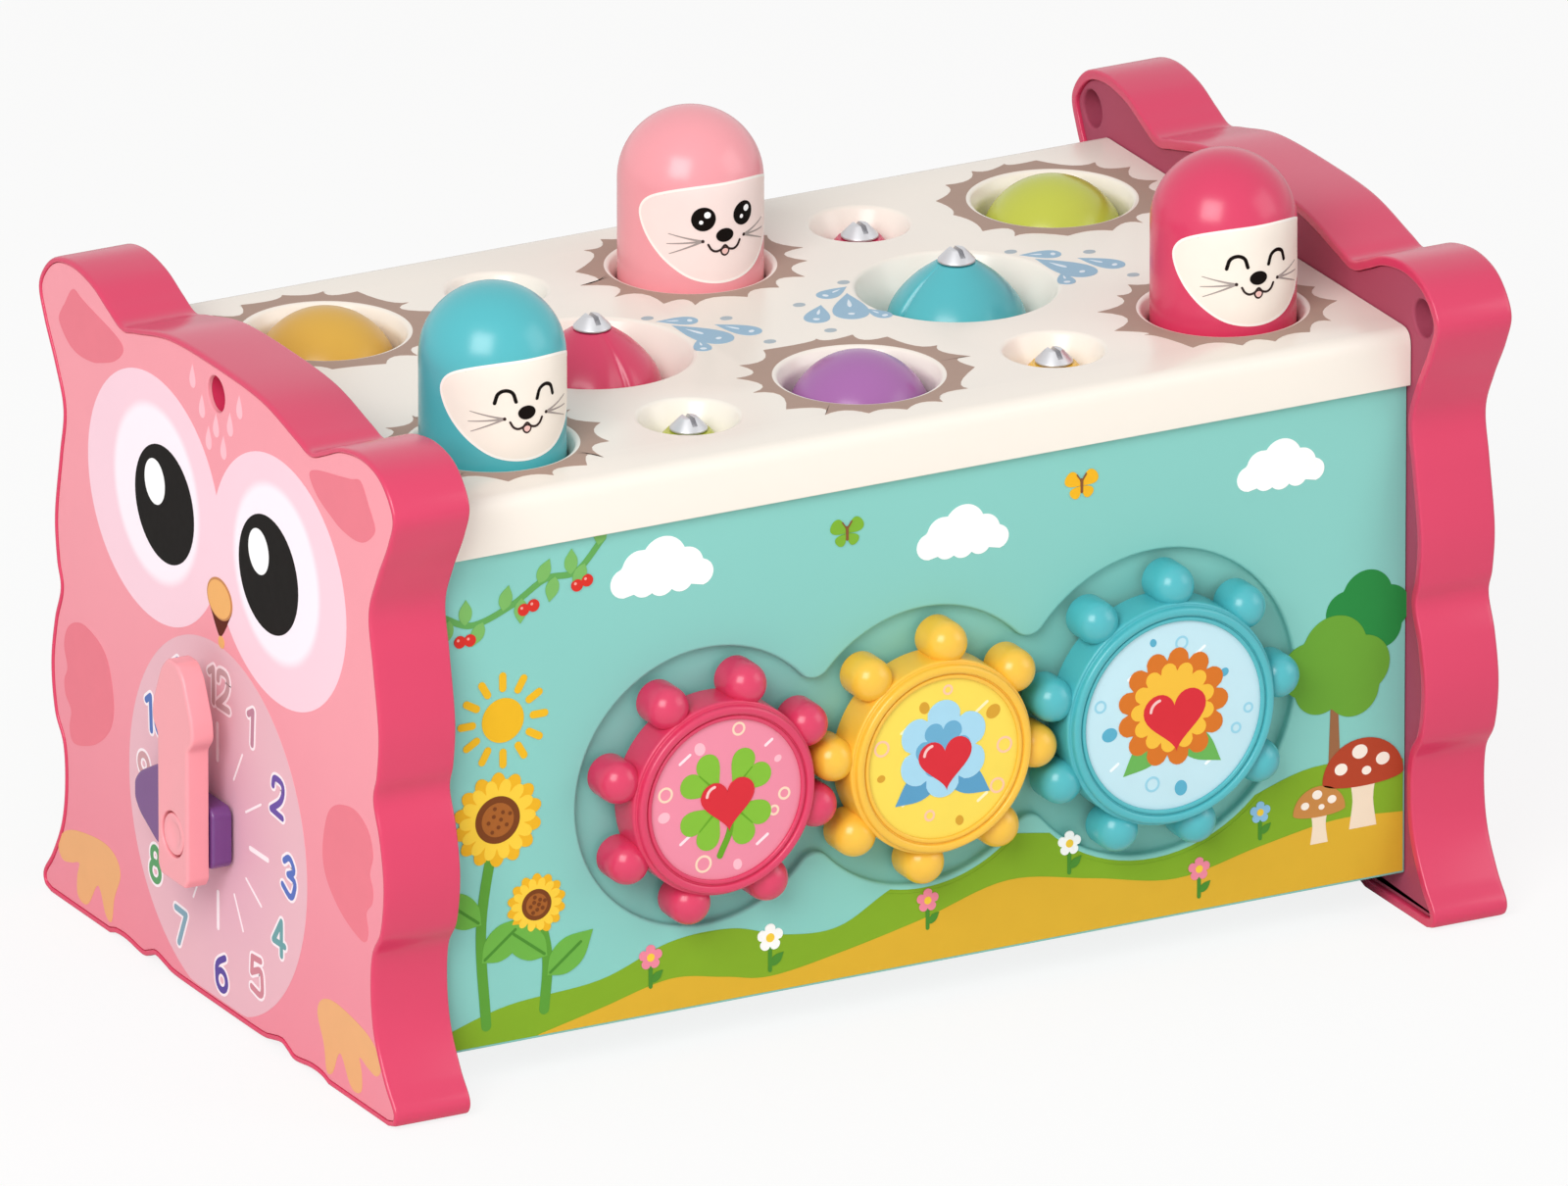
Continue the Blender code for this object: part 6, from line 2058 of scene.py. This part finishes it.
    def hand(self, name: str, outline: Line, hollow: Line, finish: Finish) -> None:
        """One hand between the faces of its CAD node.

        Args:
            name: Which hand it is.
            outline: Its outline about the pivot.
            hollow: The profile of the tool that cuts its bore, from its back outwards.
            finish: Its finish.
        """
        box = Bounds.of(f"clock_{name}_hand")
        face = Flat(Vector((box.high.x, 0, self.end.clock_height)), Vector((0, -1, 0)))
        depth, edge = box.size.x, self.hand_round
        section = eased(((edge * 0.5, 0, 0), mm(0, 0, 0.3), (0, depth, edge), (edge * 1.6, depth, 0)))
        mesh = skin([[face.at(p, lift) for p in inset(outline, distance)] for distance, lift in section])
        place = (box.high.x, 0, self.end.clock_height)
        mesh = worked(mesh, Joinery.CUT, aimed(turned(hollow, 56), (-1, 0, 0), place))
        piece(f"{name}_hand", mesh, finish, f"{name}_hand", [f"clock_{name}_hand"])

    def hands(self) -> None:
        """The hour hand at nine o'clock and the minute hand at twelve."""
        bore = self.spindle_radius + self.slide
        hour = self.outline(self.hour_shares, self.hour_tip, self.hour_tail, math.pi / 2)
        depth = Bounds.of("clock_hour_hand").size.x
        self.hand("hour", hour, rod(bore, -OVER, depth + OVER), DARK_PURPLE)
        minute = self.outline(self.minute_shares, self.minute_tip, self.minute_tail, 0)
        depth = Bounds.of("clock_minute_hand").size.x
        seat, button = depth - self.button_height - self.fit, self.button_radius + self.slide
        wide = button + OVER
        hollow = eased(((0, -OVER, 0), (bore, -OVER, 0), (bore, seat, 0), (button, seat, 0),
                        (button, depth, 0.5 * MM), (wide, depth + self.clearance, 0),
                        (wide, depth + OVER, 0), (0, depth + OVER, 0)))
        self.hand("minute", minute, hollow, PINK)

    def spindle(self) -> None:
        """The spindle, with a shallow dish in its button."""
        box = Bounds.of("clock_spindle")
        top = self.end.middle - box.low.x
        low, seat = self.end.middle - box.high.x, top - self.button_height + self.fit
        radius = self.button_radius
        profile = eased(((0, low, 0), (self.spindle_radius, low, 0.4 * MM), (self.spindle_radius, seat, 0),
                         (radius, seat, 0), (radius, top, 0.45 * MM), (radius * 0.72, top, 0.6 * MM),
                         (radius * 0.4, top - 0.65 * MM, 1.2 * MM), (0, top - 0.75 * MM, 0)))
        mesh = aimed(turned(profile, 64), (-1, 0, 0), (self.end.middle, 0, self.end.clock_height))
        piece("spindle", mesh, PINK, "box", ["clock_spindle"])

    def build(self) -> None:
        """Make the clock."""
        self.figures()
        self.hands()
        self.spindle()


# ---- Stage ----


@dataclass
class Studio:
    """Floor, lamps, world and the camera at the photograph's angle."""

    turn: float = math.radians(27.95)
    rise: float = math.asin(0.3512)
    frame_width: float = 361.2 * MM
    distance: float = 10.0
    sensor: float = 36.0 * MM
    aim_right: float = 2.17 * MM
    aim_down: float = 63.04 * MM
    floor_size: float = 6.0
    floor_colour: Colour = paint("F4F3F1")
    floor_glow: float = 0.85
    ambient: float = 0.5

    def camera(self) -> None:
        """A long lens far away, so that the view is nearly parallel as in the photograph."""
        ca, sa, ce, se = (math.cos(self.turn), math.sin(self.turn), math.cos(self.rise), math.sin(self.rise))
        right = Vector((ca, -sa, 0))
        toward = Vector((-sa * ce, -ca * ce, se))
        up = toward.cross(right)
        deck = Bounds.of("top_deck")
        target = Vector((deck.centre.x, 0, deck.high.z)) + right * self.aim_right - up * self.aim_down
        data = bpy.data.cameras.new("camera")
        data.sensor_width = self.sensor / MM
        data.lens = self.sensor / MM * self.distance / self.frame_width
        data.clip_end = self.distance * 3
        camera = bpy.data.objects.new("camera", data)
        camera.matrix_world = Matrix.Translation(target + toward * self.distance) @ Matrix(
            (right, up, toward)).transposed().to_4x4()
        bpy.context.scene.collection.objects.link(camera)
        bpy.context.scene.camera = camera

    def lamp(self, name: str, place: Point, size: float, power: float) -> None:
        """A soft square lamp that points at the toy.

        Args:
            name: Its name.
            place: Where it hangs.
            size: The length of its side.
            power: Its power in watts.
        """
        data = bpy.data.lights.new(name, "AREA")
        data.size, data.energy = size, power
        lamp = bpy.data.objects.new(name, data)
        lamp.location = place
        lamp.rotation_euler = (Vector((0, 0, 0.08)) - Vector(place)).to_track_quat("-Z", "Y").to_euler()
        bpy.context.scene.collection.objects.link(lamp)

    def world(self) -> None:
        """White for the camera and in reflections, and dimmer as a light."""
        world = bpy.data.worlds.new("world")
        bpy.context.scene.world = world
        net = Net(world, "Background")
        seen, glossy, clear = (net.add("ShaderNodeLightPath", output=ray)
                               for ray in ("Is Camera Ray", "Is Glossy Ray", "Is Transmission Ray"))
        white = seen.math("MAXIMUM", seen, seen.math("MAXIMUM", glossy, clear))
        net.feed("Color", (1, 1, 1, 1))
        net.feed("Strength", white * (1 - self.ambient) + self.ambient)

    def floor(self) -> None:
        """A wide pale floor."""
        half = self.floor_size / 2
        mesh = bmesh.new()
        mesh.faces.new([mesh.verts.new((half * x, half * y, 0))
                        for x, y in ((-1, -1), (1, -1), (1, 1), (-1, 1))])
        data = bpy.data.meshes.new("floor")
        mesh.to_mesh(data)
        mesh.free()
        material = bpy.data.materials.new("floor_white")
        net = Net(material)
        net.feed("Base Color", self.floor_colour)
        net.feed("Roughness", 0.8)
        net.feed("Specular IOR Level", 0.1)
        rays = net.add("ShaderNodeLightPath", output="Is Camera Ray")
        glow = net.add("ShaderNodeEmission", values={"Color": (1, 1, 1, 1), "Strength": 1.0})
        shader = Socket(net, net.shader.outputs[0])
        mixed = net.add("ShaderNodeMixShader", values={0: rays * self.floor_glow, 1: shader, 2: glow})
        net.tree.links.new(mixed.output, net.tree.nodes["Material Output"].inputs["Surface"])
        data.materials.append(material)
        floor = bpy.data.objects.new("floor", data)
        bpy.context.scene.collection.objects.link(floor)
        floor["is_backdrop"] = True

    def build(self) -> None:
        """Set the stage."""
        bpy.context.scene.view_settings.view_transform = "Standard"
        self.camera()
        self.world()
        self.floor()
        self.lamp("key", (-1.45, -1.3, 1.45), 1.3, 37)
        self.lamp("fill", (1.6, -1.2, 1.0), 1.2, 7)


def corners(box: tuple[Vector, Vector]) -> dict[str, list[float]]:
    """A box as plain lists of numbers."""
    return {"low": [float(v) for v in box[0]], "high": [float(v) for v in box[1]]}


def inside() -> None:
    """Finish the CAD nodes of the mechanism, which stay as they are."""
    dress(TEAL_PANEL, "base_plate")
    dress(STEEL, "rocker_rod", *[f"gear_axle_{colour}" for colour in ("crimson", "yellow", "teal")])
    dress(GREY, "guide_plate", "rocker_bracket_left", "rocker_bracket_right",
          *[f"rocker_{column}" for column in ("left", "middle", "right")],
          *[f"mole_stem_{colour}" for colour in Mole.COLOURS])


def main() -> None:
    """Build the toy's looks piece by piece, and set the stage."""
    logging.basicConfig(level=logging.INFO, format="%(name)s: %(message)s")
    cad_box = corners(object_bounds())
    Studio().build()
    ends = {side: OwlEnd(side) for side in Side}
    for end in ends.values():
        end.build()
    Clock(ends[Side.LEFT]).build()
    Deck().build()
    train = GearTrain()
    Panels(train).build()
    grounds = {"crimson": (CRIMSON, "EE8FA6"), "yellow": (YELLOW, "F8DC5C"), "teal": (TEAL, "C5E6F0")}
    for spot in train.spots():
        KnobGear(spot, *grounds[spot.colour], train).build()
    for colour in Mole.COLOURS:
        Mole(colour).build()
    Catch(Kind.FISH, "crimson", Crease(math.radians(-86), (math.radians(13), math.radians(5)), 0.1)).build()
    Catch(Kind.FISH, "teal", Crease(math.radians(-175), (math.radians(2), math.radians(2)), 0.08)).build()
    for colour in ("green", "teal", "yellow", "red"):
        Catch(Kind.WORM, colour).build()
    inside()
    {"cad": cad_box, "visual": corners(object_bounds())}


if __name__ == "__main__":
    main()
